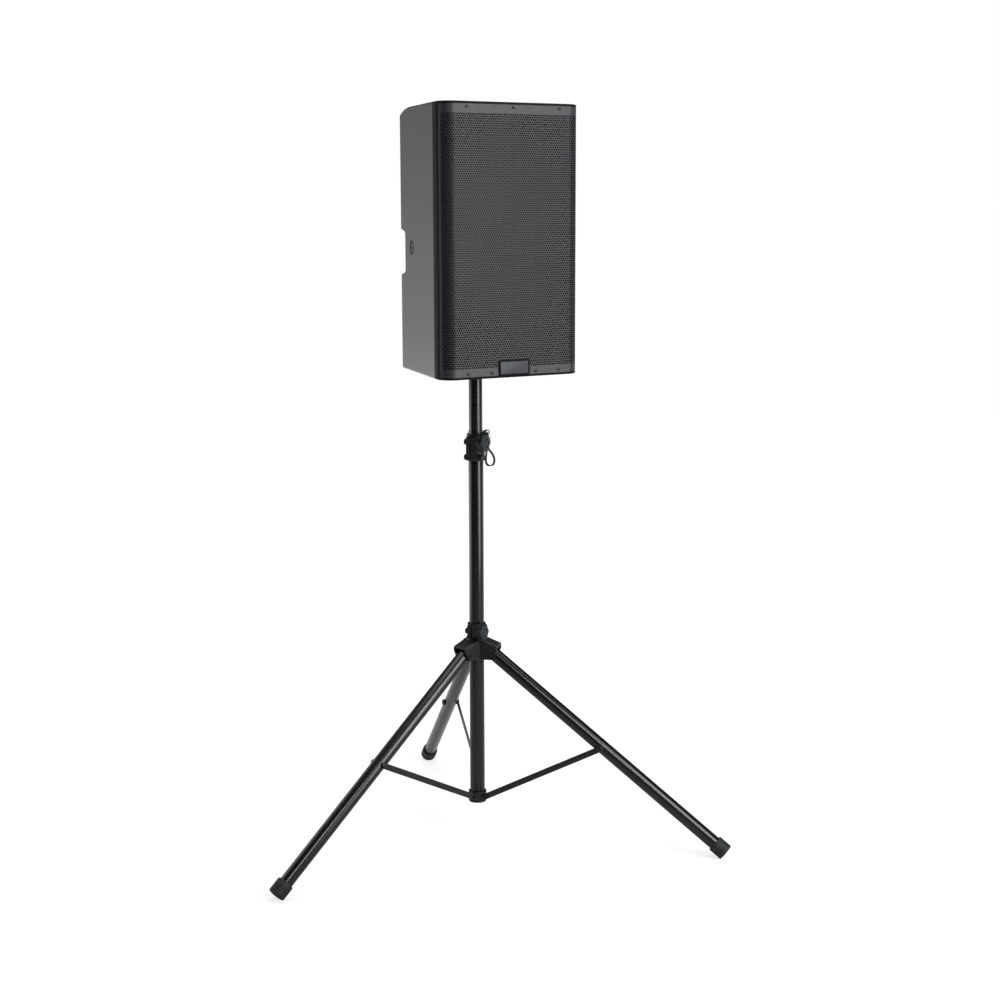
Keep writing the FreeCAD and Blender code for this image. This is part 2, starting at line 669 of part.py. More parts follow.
def strut(side):
    x0, z0 = RING_PIVOT_RADIUS, RING_PIVOT_Z
    x1, _, z1 = along_leg(STRUT_AT)
    inner = side * STRUT_PLANE
    outer = side * (STRUT_PLANE + STRUT_THICK)
    length = math.hypot(x1 - x0, z1 - z0)
    half = STRUT_WIDTH / 2
    across = V(-(z1 - z0) / length * half, 0, (x1 - x0) / length * half)
    low = V(x0, inner, z0)
    top = V(x1, inner, z1)
    bar = prism([tuple(low + across), tuple(top + across), tuple(top - across), tuple(low - across)],
                (0, outer - inner, 0))
    bar = bar.fuse(rod(half, (x0, inner, z0), (x0, outer, z0)))
    bar = bar.fuse(rod(half, (x1, inner, z1), (x1, outer, z1))).removeSplitter()
    bar = bar.cut(rod(BOLT_R + PIN_FIT, (x0, side * 10, z0), (x0, side * 30, z0)))
    bar = bar.cut(rod(BOLT_R, (x1, side * 10, z1), (x1, side * 30, z1)))
    rivet = rod(BOLT_R, (x1, inner, z1), (x1, outer, z1))
    head = rod(BOLT_HEAD_R, (x1, outer, z1), (x1, outer + side * 3.0, z1))
    head = rounded(head, 1.2, lambda e: abs(abs(e.BoundBox.YMax) - abs(outer) - 3.0) < 0.1
                   or abs(abs(e.BoundBox.YMin) - abs(outer) - 3.0) < 0.1)
    return [bar, rivet.fuse(head)]


# ---- loudspeaker ----

def adapter():
    sleeve = rod(SOCKET_R - FREE_FIT, (0, 0, 1131), (0, 0, ADAPTER_TOP))
    sleeve = rounded(sleeve, 2.5, lambda e: e.BoundBox.ZMin > ADAPTER_TOP - 0.1)
    return sleeve.cut(rod(MAST_R + FREE_FIT, (0, 0, 1130), (0, 0, MAST_TOP + 0.2)))


def outline(inset):
    """Plan of the cabinet at z = 0, pulled in by inset: round front corners, tapered sides."""
    front = FRONT_Y + inset
    rear = REAR_Y - inset
    radius = FRONT_CORNER_R - inset
    rear_r = max(REAR_CORNER_R - inset, 2.0)
    cy = FRONT_Y + FRONT_CORNER_R
    ct, st = math.cos(SIDE_TAPER), math.sin(SIDE_TAPER)
    half_angle = (math.pi / 2 + SIDE_TAPER) / 2 - math.pi / 2
    tangent = V(FLAT_HALF + radius * ct, cy + radius * st, 0)
    arc_mid = V(FLAT_HALF + radius * math.cos(half_angle), cy + radius * math.sin(half_angle), 0)
    run = (rear - tangent.y) / ct
    corner = V(tangent.x - run * st, rear, 0)
    cut = rear_r * math.tan((math.pi / 2 - SIDE_TAPER) / 2)
    side_end = corner + V(st, -ct, 0) * cut
    rear_start = corner + V(-1, 0, 0) * cut
    rear_centre = V(rear_start.x, rear - rear_r, 0)
    out = (corner - rear_centre).normalize()
    rear_mid = rear_centre + out * rear_r
    right = [
        Part.Arc(V(FLAT_HALF, front, 0), arc_mid, tangent).toShape(),
        Part.LineSegment(tangent, side_end).toShape(),
        Part.Arc(side_end, rear_mid, rear_start).toShape(),
    ]
    left = [edge.mirror(V(0, 0, 0), V(1, 0, 0)) for edge in right]
    front_edge = Part.LineSegment(V(-FLAT_HALF, front, 0), V(FLAT_HALF, front, 0)).toShape()
    rear_edge = Part.LineSegment(rear_start, V(-rear_start.x, rear, 0)).toShape()
    ordered = Part.__sortEdges__(right + left + [front_edge, rear_edge])
    return Part.Face(Part.Wire(ordered))


def cabinet_block(inset, low, high):
    return moved(outline(inset), z=low).extrude(V(0, 0, high - low))


def top_profile(inset):
    """Side view of the cabinet: the top dips in a long round and turns down in a short one."""
    low, high = BASE_Z + inset, TOP_Z - inset
    long_r, short_r = TOP_SLOPE_R - inset, TOP_REAR_R - inset
    rear = REAR_Y - inset + TOP_REAR_PROUD
    front = FRONT_Y - 50
    sin_turn, cos_turn = math.sin(TOP_SLOPE_TURN), math.cos(TOP_SLOPE_TURN)
    short_y = rear - short_r
    short_z = high - long_r + (long_r - short_r) * cos_turn
    long_y = short_y - (long_r - short_r) * sin_turn
    long_z = high - long_r

    def on_arc(y, z, radius, angle):
        return V(0, y + radius * math.sin(angle), z + radius * math.cos(angle))

    slope_middle = on_arc(long_y, long_z, long_r, TOP_SLOPE_TURN / 2)
    slope_end = on_arc(long_y, long_z, long_r, TOP_SLOPE_TURN)
    corner_middle = on_arc(short_y, short_z, short_r, (TOP_SLOPE_TURN + math.pi / 2) / 2)
    corner_end = V(0, rear, short_z)
    return Part.Wire([
        Part.LineSegment(V(0, front, low), V(0, rear, low)).toShape(),
        Part.LineSegment(V(0, rear, low), corner_end).toShape(),
        Part.Arc(corner_end, corner_middle, slope_end).toShape(),
        Part.Arc(slope_end, slope_middle, V(0, long_y, high)).toShape(),
        Part.LineSegment(V(0, long_y, high), V(0, front, high)).toShape(),
        Part.LineSegment(V(0, front, high), V(0, front, low)).toShape(),
    ])


def cabinet_body(inset):
    """Whole cabinet volume, with its rounded rear top edge, pulled in by inset."""
    side_view = Part.Face(top_profile(inset)).extrude(V(600, 0, 0))
    return cabinet_block(inset, BASE_Z + inset, TOP_Z - inset).common(moved(side_view, x=-300))


def side_frame(s):
    """Point and outward direction on the right side, s along it from the front corner."""
    ct, st = math.cos(SIDE_TAPER), math.sin(SIDE_TAPER)
    start = V(FLAT_HALF + FRONT_CORNER_R * ct, FRONT_Y + FRONT_CORNER_R + FRONT_CORNER_R * st, 0)
    return start + V(-st, ct, 0) * s, V(ct, st, 0)


def m10_places():
    point, out = side_frame(M10_SIDE_S)
    right = (V(point.x, point.y, M10_SIDE_Z), out)
    left = (V(-point.x, point.y, M10_SIDE_Z), V(-out.x, out.y, 0))
    front_top = (V(0, M10_TOP_FRONT_Y, TOP_Z), V(0, 0, 1))
    rear_top = (V(0, M10_TOP_REAR_Y, TOP_Z), V(0, 0, 1))
    return [right, left, front_top, rear_top]


def handle_cup(grow):
    """Notch at a rear corner where the hand goes in, grown by grow on its inner sides."""
    inner, floor, mouth = NOTCH_X - grow, NOTCH_Y - grow, 220.0
    low, high = NOTCH_LOW - grow, NOTCH_HIGH + grow
    flare = NOTCH_FLARE * (mouth - floor) / (REAR_Y - NOTCH_Y)
    corners = [(inner, floor, low), (inner, floor, high),
               (inner, mouth, high + flare), (inner, mouth, low - flare)]
    block = prism(corners, (140 - inner, 0, 0))
    return rounded(block, 9.0 + grow, lambda e: e.BoundBox.YLength < 0.1 and e.BoundBox.ZLength < 0.1
                   and e.BoundBox.YMin < floor + 0.1 and e.BoundBox.XLength > 40)


def mirrored_pair(shape):
    return [shape, shape.mirror(V(0, 0, 0), V(1, 0, 0))]


def is_across(edge):
    return edge.BoundBox.ZLength < 0.1


def front_moulding():
    """Front third of the cabinet: baffle, rounded corners and the seat of the grille."""
    body = cabinet_block(0, BASE_Z, TOP_Z).common(zone(-FAR, SEAM_Y))
    body = rounded(body, 4.0, lambda e: is_across(e) and (
        e.BoundBox.YMax < SEAM_Y - 1 or (e.BoundBox.YLength > 5 and e.BoundBox.YMin < SEAM_Y - 1)))
    edge_y = FRONT_Y + FRONT_CORNER_R - FRONT_CORNER_R * math.cos(GRILLE_EDGE_ANGLE)
    skin = zone(-FAR, edge_y, BASE_Z + LIP, TOP_Z - LIP)
    skin = skin.cut(cabinet_block(GRILLE_SEAT, BASE_Z - 1, TOP_Z + 1))
    pocket = box(-POCKET_HALF, POCKET_HALF, -200, BAFFLE_FRONT, BASE_Z + BOTTOM_BAND, TOP_Z - TOP_BAND)
    cavity = cabinet_block(WALL, BASE_Z + WALL, TOP_Z - WALL).common(zone(BAFFLE_BACK, SEAM_Y + 1))
    woofer_hole = rod(WOOFER_HOLE_R, (0, -200, WOOFER_Z), (0, -100, WOOFER_Z))
    half_w, half_h = HORN_WIDTH / 2 - 8, HORN_HEIGHT / 2 - 8
    horn_hole = box(-half_w, half_w, -200, -100, HORN_Z - half_h, HORN_Z + half_h)
    for tool in (skin, pocket, cavity, woofer_hole, horn_hole):
        body = body.cut(tool)
    for x in (-PORT_X, PORT_X):
        body = body.cut(rod(PORT_R + 3, (x, -200, PORT_Z), (x, -100, PORT_Z)))
    for x, z in grille_screw_places():
        body = body.cut(rod(1.6, (x, -200, z), (x, -162, z)))
    for x, z in woofer_screw_places():
        body = body.cut(rod(2.0, (x, -200, z), (x, -100, z)))
    return body.removeSplitter()


def grille_screw_places():
    top = [(x, TOP_Z - TOP_BAND / 2) for x in GRILLE_SCREW_XS_TOP]
    bottom = [(x, BASE_Z + 12.0) for x in GRILLE_SCREW_XS_BOTTOM]
    return top + bottom


def woofer_screw_places():
    places = []
    for k in range(8):
        a = math.radians(22.5 + 45 * k)
        x = WOOFER_SCREW_CIRCLE * math.cos(a)
        places.append((x, WOOFER_Z + WOOFER_SCREW_CIRCLE * math.sin(a)))
    return places


def grille():
    edge_y = FRONT_Y + FRONT_CORNER_R - FRONT_CORNER_R * math.cos(GRILLE_EDGE_ANGLE) - 0.4
    low, high = BASE_Z + LIP + 0.4, TOP_Z - LIP - 0.4
    sheet = cabinet_block(0.4, low, high).cut(cabinet_block(0.4 + GRILLE_THICK, low - 1, high + 1))
    sheet = sheet.common(zone(-FAR, edge_y, low, high))
    for x, z in grille_screw_places():
        sheet = sheet.cut(rod(2.0, (x, -200, z), (x, -150, z)))
    return sheet


def grille_foam():
    half = POCKET_HALF - 4
    low, high = BASE_Z + BOTTOM_BAND + 0.5, TOP_Z - TOP_BAND - 0.5
    return box(-half, half, FOAM_FRONT_Y, FOAM_FRONT_Y + FOAM_THICK, low, high)


def badge():
    """Blank plate with a raised frame."""
    half, inner = BADGE_HALF, BADGE_HALF - BADGE_FRAME
    plate = box(-half, half, BADGE_FACE_Y, FRONT_Y + 0.35, BADGE_LOW, BADGE_HIGH)
    plate = rounded(plate, 3.0, lambda e: e.BoundBox.YLength > 3 and e.BoundBox.XLength < 0.1
                    and e.BoundBox.ZLength < 0.1)
    sunk = box(-inner, inner, BADGE_FACE_Y - 1, BADGE_FACE_Y + 0.8,
               BADGE_LOW + BADGE_FRAME, BADGE_HIGH - BADGE_FRAME)
    return plate.cut(sunk)


def grille_screws():
    screws = []
    for x, z in grille_screw_places():
        head = rod(3.4, (x, -179.0, z), (x, -176.95, z))
        head = rounded(head, 0.8, lambda e: e.BoundBox.YMax < -178.9)
        screw = head.fuse(rod(1.55, (x, -177, z), (x, -163.5, z)))
        screws.append(screw.cut(hexagon(2.2, (x, -180, z), (x, -178.0, z))))
    return screws


def about_woofer(points):
    """Solid of revolution about the woofer's axis; each point is (radius, y)."""
    return revolved(points, (0, 0, WOOFER_Z), (0, 1, 0), (1, 0, 0))


def woofer_frame():
    """Basket: mounting ring, six spokes and the rear shelf for the magnet."""
    seat = BAFFLE_FRONT - SEAT_FIT
    inside = BASKET_R - BASKET_WALL - 0.4
    ring = about_woofer([(BASKET_R, -164), (WOOFER_FRAME_R, -164), (WOOFER_FRAME_R, seat), (BASKET_R, seat)])
    bowl = about_woofer([(inside, -162), (BASKET_R + 0.2, -162), (BASKET_R + 0.2, -146.5),
                         (BASKET_BACK_R, BASKET_BACK_Y - 1), (BASKET_BACK_R, BASKET_BACK_Y),
                         (BASKET_HOLE_R, BASKET_BACK_Y), (BASKET_HOLE_R, BASKET_BACK_Y - BASKET_WALL),
                         (BASKET_BACK_R - BASKET_WALL, BASKET_BACK_Y - BASKET_WALL), (inside, -148)])
    bowl = bowl.fuse(ring).removeSplitter()
    for k in range(6):
        window = box(-28, 28, -144, -95, WOOFER_Z + 84, WOOFER_Z + 160)
        bowl = bowl.cut(turned(window, 30 + 60 * k, V(0, 0, WOOFER_Z), V(0, 1, 0)))
    for x, z in woofer_screw_places():
        bowl = bowl.cut(rod(2.3, (x, -170, z), (x, -155, z)))
    return bowl


def woofer_magnet():
    """Front plate, ferrite ring, back plate with pole piece, stacked on the basket."""
    front = BASKET_BACK_Y + 0.1
    plate_r, plate_thick = 68, 8
    gap_r, pole_r, vent_r = 38.9, 35.6, 9
    ferrite_front, ferrite_back = front + plate_thick, -56
    back = ferrite_back + 0.1
    top_plate = about_woofer([(gap_r, front), (plate_r, front), (plate_r, ferrite_front - 0.1),
                              (gap_r, ferrite_front - 0.1)])
    ferrite = about_woofer([(43, ferrite_front), (MAGNET_R, ferrite_front), (MAGNET_R, ferrite_back),
                            (43, ferrite_back)])
    pole = about_woofer([(vent_r, BASKET_BACK_Y), (pole_r, BASKET_BACK_Y), (pole_r, back), (plate_r, back),
                         (plate_r, -47), (vent_r, -47)])
    return [top_plate, ferrite, pole]


def half_roll(mid, radius, thick, y):
    """Ring whose section is a half roll that bulges to the front."""
    start, end = V(mid - radius, y, WOOFER_Z), V(mid + radius, y, WOOFER_Z)
    inner_start, inner_end = V(mid - radius + thick, y, WOOFER_Z), V(mid + radius - thick, y, WOOFER_Z)
    wire = Part.Wire([
        Part.Arc(start, V(mid, y - radius, WOOFER_Z), end).toShape(),
        Part.LineSegment(end, inner_end).toShape(),
        Part.Arc(inner_end, V(mid, y - radius + thick, WOOFER_Z), inner_start).toShape(),
        Part.LineSegment(inner_start, start).toShape(),
    ])
    return Part.Face(wire).revolve(V(0, 0, WOOFER_Z), V(0, 1, 0), 360)


def woofer_suspension():
    """Rubber surround and corrugated spider."""
    inner = CONE_R + 0.4
    surround = half_roll((inner + ROLL_OUTER_R) / 2, (ROLL_OUTER_R - inner) / 2, ROLL_THICK, ROLL_Y)
    front, back = [], []
    steps = 24
    waves = 4
    start = COIL_R + 1.2
    for k in range(steps + 1):
        r = start + (SPIDER_R - start) * k / steps
        wave = SPIDER_WAVE * math.sin(2 * math.pi * waves * k / steps)
        front.append((r, SPIDER_Y + wave))
        back.append((r, SPIDER_Y + SPIDER_THICK + wave))
    return [surround, about_woofer(front + back[::-1])]


def woofer_cone():
    """Paper cone with its dust cap and voice coil: the piece that moves."""
    cone = about_woofer([(CONE_R, CONE_FRONT_Y), (CONE_R, CONE_FRONT_Y + 1.4), (COIL_R + 0.6, CONE_BACK_Y),
                         (COIL_R - 0.4, CONE_BACK_Y), (COIL_R - 0.4, CONE_BACK_Y - 3)])
    former_front, winding_front, coil_back = -110, -82, -70
    coil = about_woofer([(COIL_R - 0.6, former_front), (COIL_R + 0.4, former_front),
                         (COIL_R + 0.4, winding_front), (COIL_R + 1.0, winding_front),
                         (COIL_R + 1.0, coil_back), (COIL_R - 0.6, coil_back)])
    centre = V(0, DOME_TOP_Y + DOME_R, WOOFER_Z)
    dome = Part.makeSphere(DOME_R, centre).cut(Part.makeSphere(DOME_R - DOME_THICK, centre))
    cap = dome.common(box(-60, 60, DOME_TOP_Y - 1, DOME_EDGE_Y, WOOFER_Z - 60, WOOFER_Z + 60))
    return [fuse([cone, coil, cap])]


def horn_section(y, half_w, half_h, round_r):
    """Rounded rectangle across the horn."""
    cx, cz = half_w - round_r, half_h - round_r
    corners = [(cx, cz, 0), (-cx, cz, 90), (-cx, -cz, 180), (cx, -cz, 270)]

    def on_corner(corner, turn):
        x, z, start = corner
        a = math.radians(start + turn)
        return V(x + round_r * math.cos(a), y, HORN_Z + z + round_r * math.sin(a))

    edges = []
    last = on_corner(corners[-1], 90)
    for corner in corners:
        edges.append(Part.LineSegment(last, on_corner(corner, 0)).toShape())
        edges.append(Part.Arc(on_corner(corner, 0), on_corner(corner, 45), on_corner(corner, 90)).toShape())
        last = on_corner(corner, 90)
    return Part.Wire(edges)


def horn_loft(grow):
    """Flare from the round throat to the wide mouth, in five sections, grown by grow."""
    reach_w = HORN_WIDTH / 2 - HORN_RIM - HORN_THROAT_R
    reach_h = HORN_HEIGHT / 2 - HORN_RIM - HORN_THROAT_R
    sections = []
    steps = 4
    for k in range(steps + 1):
        f = k / steps
        y = HORN_THROAT_Y + (BAFFLE_FRONT - HORN_THROAT_Y) * f
        half_w = HORN_THROAT_R + reach_w * f ** 1.6 + grow
        half_h = HORN_THROAT_R + reach_h * f ** 1.9 + grow
        corner = min(half_w, half_h) * (0.96 - 0.7 * f)
        sections.append(horn_section(y, half_w, half_h, corner))
    return Part.makeLoft(sections, True, False)


def horn():
    half_w, half_h = HORN_WIDTH / 2, HORN_HEIGHT / 2
    front, seat = BAFFLE_FRONT - 3.5, BAFFLE_FRONT - SEAT_FIT
    flange = box(-half_w, half_w, front, seat, HORN_Z - half_h, HORN_Z + half_h)
    flange = rounded(flange, 12.0, lambda e: abs(e.BoundBox.YLength - (seat - front)) < 0.1
                     and e.BoundBox.XLength < 0.1 and e.BoundBox.ZLength < 0.1)
    body = horn_loft(HORN_WALL).fuse(flange)
    throat_ring = rod(34, (0, HORN_THROAT_Y - 6, HORN_Z), (0, HORN_THROAT_Y, HORN_Z))
    body = body.fuse(throat_ring).removeSplitter()
    mouth = horn_section(seat, half_w - HORN_RIM, half_h - HORN_RIM, (half_h - HORN_RIM) * 0.26)
    opening = Part.Face(mouth).extrude(V(0, -6, 0))
    throat = rod(HORN_THROAT_R - 0.5, (0, HORN_THROAT_Y - 8, HORN_Z), (0, HORN_THROAT_Y + 1, HORN_Z))
    return body.cut(horn_loft(0)).cut(opening).cut(throat)


def compression_driver():
    y, z = HORN_THROAT_Y, HORN_Z
    cup = rod(DRIVER_R, (0, y + 0.1, z), (0, y + DRIVER_LENGTH, z))
    cup = rounded(cup, 5.0, lambda e: e.BoundBox.YMin > y + DRIVER_LENGTH - 2)
    cup = cup.cut(rod(12.7, (0, y - 1, z), (0, y + 20, z)))
    return cup.cut(pipe(DRIVER_R + 12, DRIVER_R - 3, (0, y + 24, z), (0, y + 26, z)))


def port_tubes():
    tubes = []
    front = BAFFLE_FRONT
    for x in (-PORT_X, PORT_X):
        tube = rod(PORT_R + 2.9, (x, front, PORT_Z), (x, front + PORT_LENGTH, PORT_Z))
        lip = rod(PORT_R + 4.0, (x, front - 2, PORT_Z), (x, front - SEAT_FIT, PORT_Z))
        bore = rod(PORT_R, (x, front - 5, PORT_Z), (x, 0, PORT_Z))
        tubes.append(tube.fuse(lip).removeSplitter().cut(bore))
    return tubes


def rear_enclosure():
    """Rear shell with the seat of the panel, the handle pockets and the bosses' holes."""
    outside = cabinet_body(0).common(zone(SEAM_Y, FAR))
    outside = rounded(outside, 4.0, lambda e: is_across(e) and e.BoundBox.YLength > 100)
    cavity = cabinet_body(WALL).common(zone(SEAM_Y - 1, FAR))
    edge = PANEL_HALF + PANEL_SHELF
    tray = box(-edge, edge, 154, 175, PANEL_LOW - PANEL_SHELF, PANEL_HIGH + PANEL_SHELF)
    socket_boss = rod(SOCKET_OUTER_R + 4, (0, 0, BASE_Z), (0, 0, BASE_Z + 9))
    for kept in [tray, socket_boss] + mirrored_pair(handle_cup(CUP_WALL + 3.5)):
        cavity = cavity.cut(kept)
    body = outside.cut(cavity)
    for cup in mirrored_pair(handle_cup(CUP_WALL)):
        body = body.cut(cup)
    inner = PANEL_HALF - PANEL_SHELF
    body = body.cut(box(-PANEL_HALF, PANEL_HALF, PANEL_BACK, 200, PANEL_LOW, PANEL_HIGH))
    body = body.cut(box(-inner, inner, 140, 200, PANEL_LOW + PANEL_SHELF, PANEL_HIGH - PANEL_SHELF))
    body = body.cut(rod(SOCKET_OUTER_R + 0.1, (0, 0, 1100), (0, 0, BASE_Z + 12)))
    body = body.cut(rod(SOCKET_FLANGE_R + 0.1, (0, 0, 1100), (0, 0, BASE_Z + 3.05)))
    for point, out in m10_places():
        body = body.cut(Part.makeCylinder(M10_BODY_R, 30, point - out * 20, out))
        body = body.cut(Part.makeCylinder(M10_RECESS_R, 10, point - out * M10_RECESS, out))
    for x, z in panel_screw_places():
        body = body.cut(rod(1.7, (x, 154.5, z), (x, 175, z)))
    for x, y in FOOT_PLACES:
        body = body.cut(rod(2.0, (x, y, 1120), (x, y, BASE_Z + 10)))
    return body.removeSplitter()


def handle_cups():
    shell = handle_cup(CUP_WALL).cut(handle_cup(0)).common(cabinet_body(0))
    return mirrored_pair(shell)


def panel_screw_places():
    places = []
    for x in (-PANEL_HALF + 4.5, PANEL_HALF - 4.5):
        for k in range(4):
            z = PANEL_LOW + 5 + (PANEL_HIGH - PANEL_LOW - 10) * k / 3
            places.append((x, z))
    return places


def panel_hole(radius, x, z):
    return rod(radius, (x, PANEL_BACK - 1, z), (x, PANEL_FACE + 1, z))


def panel_window(half_x, half_z, x, z):
    return box(x - half_x, x + half_x, PANEL_BACK - 1, PANEL_FACE + 1, z - half_z, z + half_z)


def amp_panel():
    half = PANEL_HALF - PANEL_MARGIN
    plate = box(-half, half, PANEL_BACK, PANEL_FACE, PANEL_LOW + PANEL_MARGIN, PANEL_HIGH - PANEL_MARGIN)
    holes = [panel_hole(3.3, x, z) for x, z, _ in KNOB_PLACES.values()]
    holes += [panel_hole(BUTTON_R + FREE_FIT, x, z) for x, z in BUTTON_PLACES.values()]
    holes += [panel_hole(JACK_R + 0.1, x, z) for x, z in JACK_PLACES.values()]
    holes += [panel_hole(1.8, x, z) for x, z in panel_screw_places()]
    holes.append(panel_hole(MINI_JACK_R + 0.1, 0, MINI_JACK_Z))
    holes.append(panel_hole(INLET_R + 0.1, *INLET))
    holes.append(panel_window(11, 16, *ROCKER))
    holes.append(panel_window(30, 18, 0, DISPLAY_Z))
    for hole in holes:
        plate = plate.cut(hole)
    return plate


def heatsink():
    """Upright fins on a plate, outside the panel."""
    pieces = [box(-50, 50, PANEL_FACE, PANEL_FACE + 2.5, FIN_LOW, FIN_HIGH)]
    for k in range(FIN_COUNT):
        x = -49 + 98.0 * k / (FIN_COUNT - 1)
        pieces.append(box(x - 0.9, x + 0.9, PANEL_FACE + 2, PANEL_FACE + 9.5, FIN_LOW, FIN_HIGH))
    return fuse(pieces)


def circuit_board():
    """Board on four pillars behind the panel."""
    front, back = 126, 127.6
    board = box(-50, 50, front, back, 1190, 1510)
    pillars = []
    for x in (-44, 44):
        for z in (1200, 1500):
            pillars.append(rod(3, (x, back, z), (x, PANEL_BACK - SEAT_FIT, z)))
    return fuse([board] + pillars)


def transformer():
    """Toroid with its bolt and bracket."""
    z = TRANSFORMER_Z
    front, back = 76, 118
    body = rounded(rod(TRANSFORMER_R, (0, front, z), (0, back, z)), 8.0, lambda e: True)
    body = body.cut(rod(14, (0, front - 2, z), (0, back + 2, z)))
    core = rod(13.9, (0, front - 1, z), (0, back + 2, z))
    bracket = box(-12, 12, back + 1.9, back + 7.9, z - 12, z + 12)
    return fuse([body, core.fuse(bracket)])


def display():
    return box(-29.7, 29.7, PANEL_FACE - 2.5, PANEL_FACE + 0.6, DISPLAY_Z - 17.7, DISPLAY_Z + 17.7)


def knob(name):
    """Ribbed control knob with a pointer groove and its stem."""
    x, z, radius = KNOB_PLACES[name]
    base = PANEL_FACE + 0.4
    top = base + KNOB_HEIGHT
    body = rod(radius, (x, base, z), (x, top, z))
    body = rounded(body, 1.0, lambda e: e.BoundBox.YMin > top - 0.1)
    for k in range(KNOB_RIBS):
        a = 2 * math.pi * k / KNOB_RIBS
        px, pz = x + radius * math.cos(a), z + radius * math.sin(a)
        body = body.cut(rod(0.7, (px, base + 1.6, pz), (px, top + 1, pz)))
    pointer = box(x - 0.6, x + 0.6, top - 0.6, top + 1, z + radius * 0.35, z + radius + 1)
    stem = rod(3.0, (x, 150, z), (x, base + 1, z))
    return body.cut(pointer).fuse(stem).removeSplitter()


def button(name):
    x, z = BUTTON_PLACES[name]
    cap = rod(BUTTON_R, (x, 152, z), (x, PANEL_FACE + 3.2, z))
    return rounded(cap, 0.8, lambda e: e.BoundBox.YMin > PANEL_FACE + 3)


def power_rocker():
    x, z = ROCKER
    half, back = 9.5, 158.5
    side = x - half
    corners = [(side, back, z - 14), (side, PANEL_FACE + 2.0, z - 14), (side, PANEL_FACE + 0.2, z),
               (side, PANEL_FACE + 4.0, z + 14), (side, back, z + 14)]
    return prism(corners, (2 * half, 0, 0))


def flange_plate(x, z, half_x, half_z, thick):
    """Plate on the panel with round corners."""
    plate = box(x - half_x, x + half_x, PANEL_FACE, PANEL_FACE + thick, z - half_z, z + half_z)
    return rounded(plate, 3.0, lambda e: abs(e.BoundBox.YLength - thick) < 0.05
                   and e.BoundBox.XLength < 0.1 and e.BoundBox.ZLength < 0.1)


def three_places(x, z, radius):
    """The contacts of a three-pin connector."""
    places = []
    for k in range(3):
        a = math.radians(90 + 120 * k)
        places.append((x + radius * math.cos(a), z + radius * math.sin(a)))
    return places


def jack(x, z, is_input):
    body = rod(JACK_R, (x, JACK_BACK, z), (x, PANEL_FACE + 1, z))
    body = flange_plate(x, z, 13, 15.5, JACK_FLANGE).fuse(body).removeSplitter()
    floor = PANEL_FACE - JACK_DEPTH
    recess = rod(JACK_R - 1.3, (x, floor, z), (x, PANEL_FACE + 3, z))
    if is_input:
        core = rod(JACK_R - 3.0, (x, floor - 1, z), (x, PANEL_FACE + 0.6, z))
        body = body.cut(recess.cut(core)).cut(rod(3.3, (x, floor - 4, z), (x, PANEL_FACE + 3, z)))
        for px, pz in three_places(x, z, 5.7):
            body = body.cut(rod(1.3, (px, floor - 2, pz), (px, PANEL_FACE + 3, pz)))
    else:
        body = body.cut(recess)
        for px, pz in three_places(x, z, 5.0):
            body = body.fuse(rod(1.2, (px, floor - 1, pz), (px, PANEL_FACE - 1, pz)))
    return body


def signal_jacks():
    """Two combination inputs, two outputs and a small stereo jack, each with its flange."""
    jacks = [jack(x, z, name.startswith("in")) for name, (x, z) in JACK_PLACES.items()]
    jacks.append(pipe(MINI_JACK_R, 1.8, (0, 150, MINI_JACK_Z), (0, PANEL_FACE + 1.5, MINI_JACK_Z)))
    return jacks


def power_inlet():
    x, z = INLET
    body = rod(INLET_R, (x, 134, z), (x, PANEL_FACE + 1, z))
    body = flange_plate(x, z, 15.5, 17, INLET_FLANGE).fuse(body).removeSplitter()
    body = body.cut(rod(INLET_R - 1.8, (x, PANEL_FACE - 14, z), (x, PANEL_FACE + 3, z)))
    body = body.fuse(rod(6.2, (x, PANEL_FACE - 15, z), (x, PANEL_FACE - 1, z)))
    for px, pz in ((0, 3.2), (-3.0, -2.0), (3.0, -2.0)):
        left, low = x + px - 0.8, z + pz - 1.8
        body = body.cut(box(left, left + 1.6, PANEL_FACE - 9, PANEL_FACE, low, low + 3.6))
    return body


def panel_screws():
    screws = []
    for x, z in panel_screw_places():
        head = rod(3.2, (x, PANEL_FACE, z), (x, PANEL_FACE + 2.0, z))
        head = rounded(head, 0.7, lambda e: e.BoundBox.YMin > PANEL_FACE + 1.9)
        screw = head.fuse(rod(1.65, (x, 156, z), (x, PANEL_FACE + 0.5, z)))
        screws.append(screw.cut(hexagon(2.2, (x, PANEL_FACE + 1.0, z), (x, PANEL_FACE + 3, z))))
    return screws


def pole_socket():
    cup = rod(SOCKET_OUTER_R, (0, 0, BASE_Z), (0, 0, SOCKET_TOP + 4))
    flange = rod(SOCKET_FLANGE_R, (0, 0, BASE_Z), (0, 0, BASE_Z + 3))
    cup = cup.fuse(flange).removeSplitter()
    cup = cup.cut(rod(SOCKET_R, (0, 0, BASE_Z - 1), (0, 0, SOCKET_TOP)))
    screw_circle = 30
    for k in range(4):
        a = math.radians(45 + 90 * k)
        x, y = screw_circle * math.cos(a), screw_circle * math.sin(a)
        cup = cup.cut(Part.makeCone(4.2, 2.2, 2.0, V(x, y, BASE_Z), Z_AXIS))
    return cup


def m10_inserts():
    inserts = []
    for point, out in m10_places():
        start = point - out * M10_RECESS
        body = Part.makeCylinder(M10_BODY_R - 0.05, M10_LENGTH, start, out * -1)
        flange = Part.makeCylinder(12.0, 1.5, start, out)
        insert = body.fuse(flange).removeSplitter()
        bore = Part.makeCylinder(M10_BORE_R, M10_LENGTH - 1.0, start + out * 2.0, out * -1)
        inserts.append(insert.cut(bore))
    return inserts


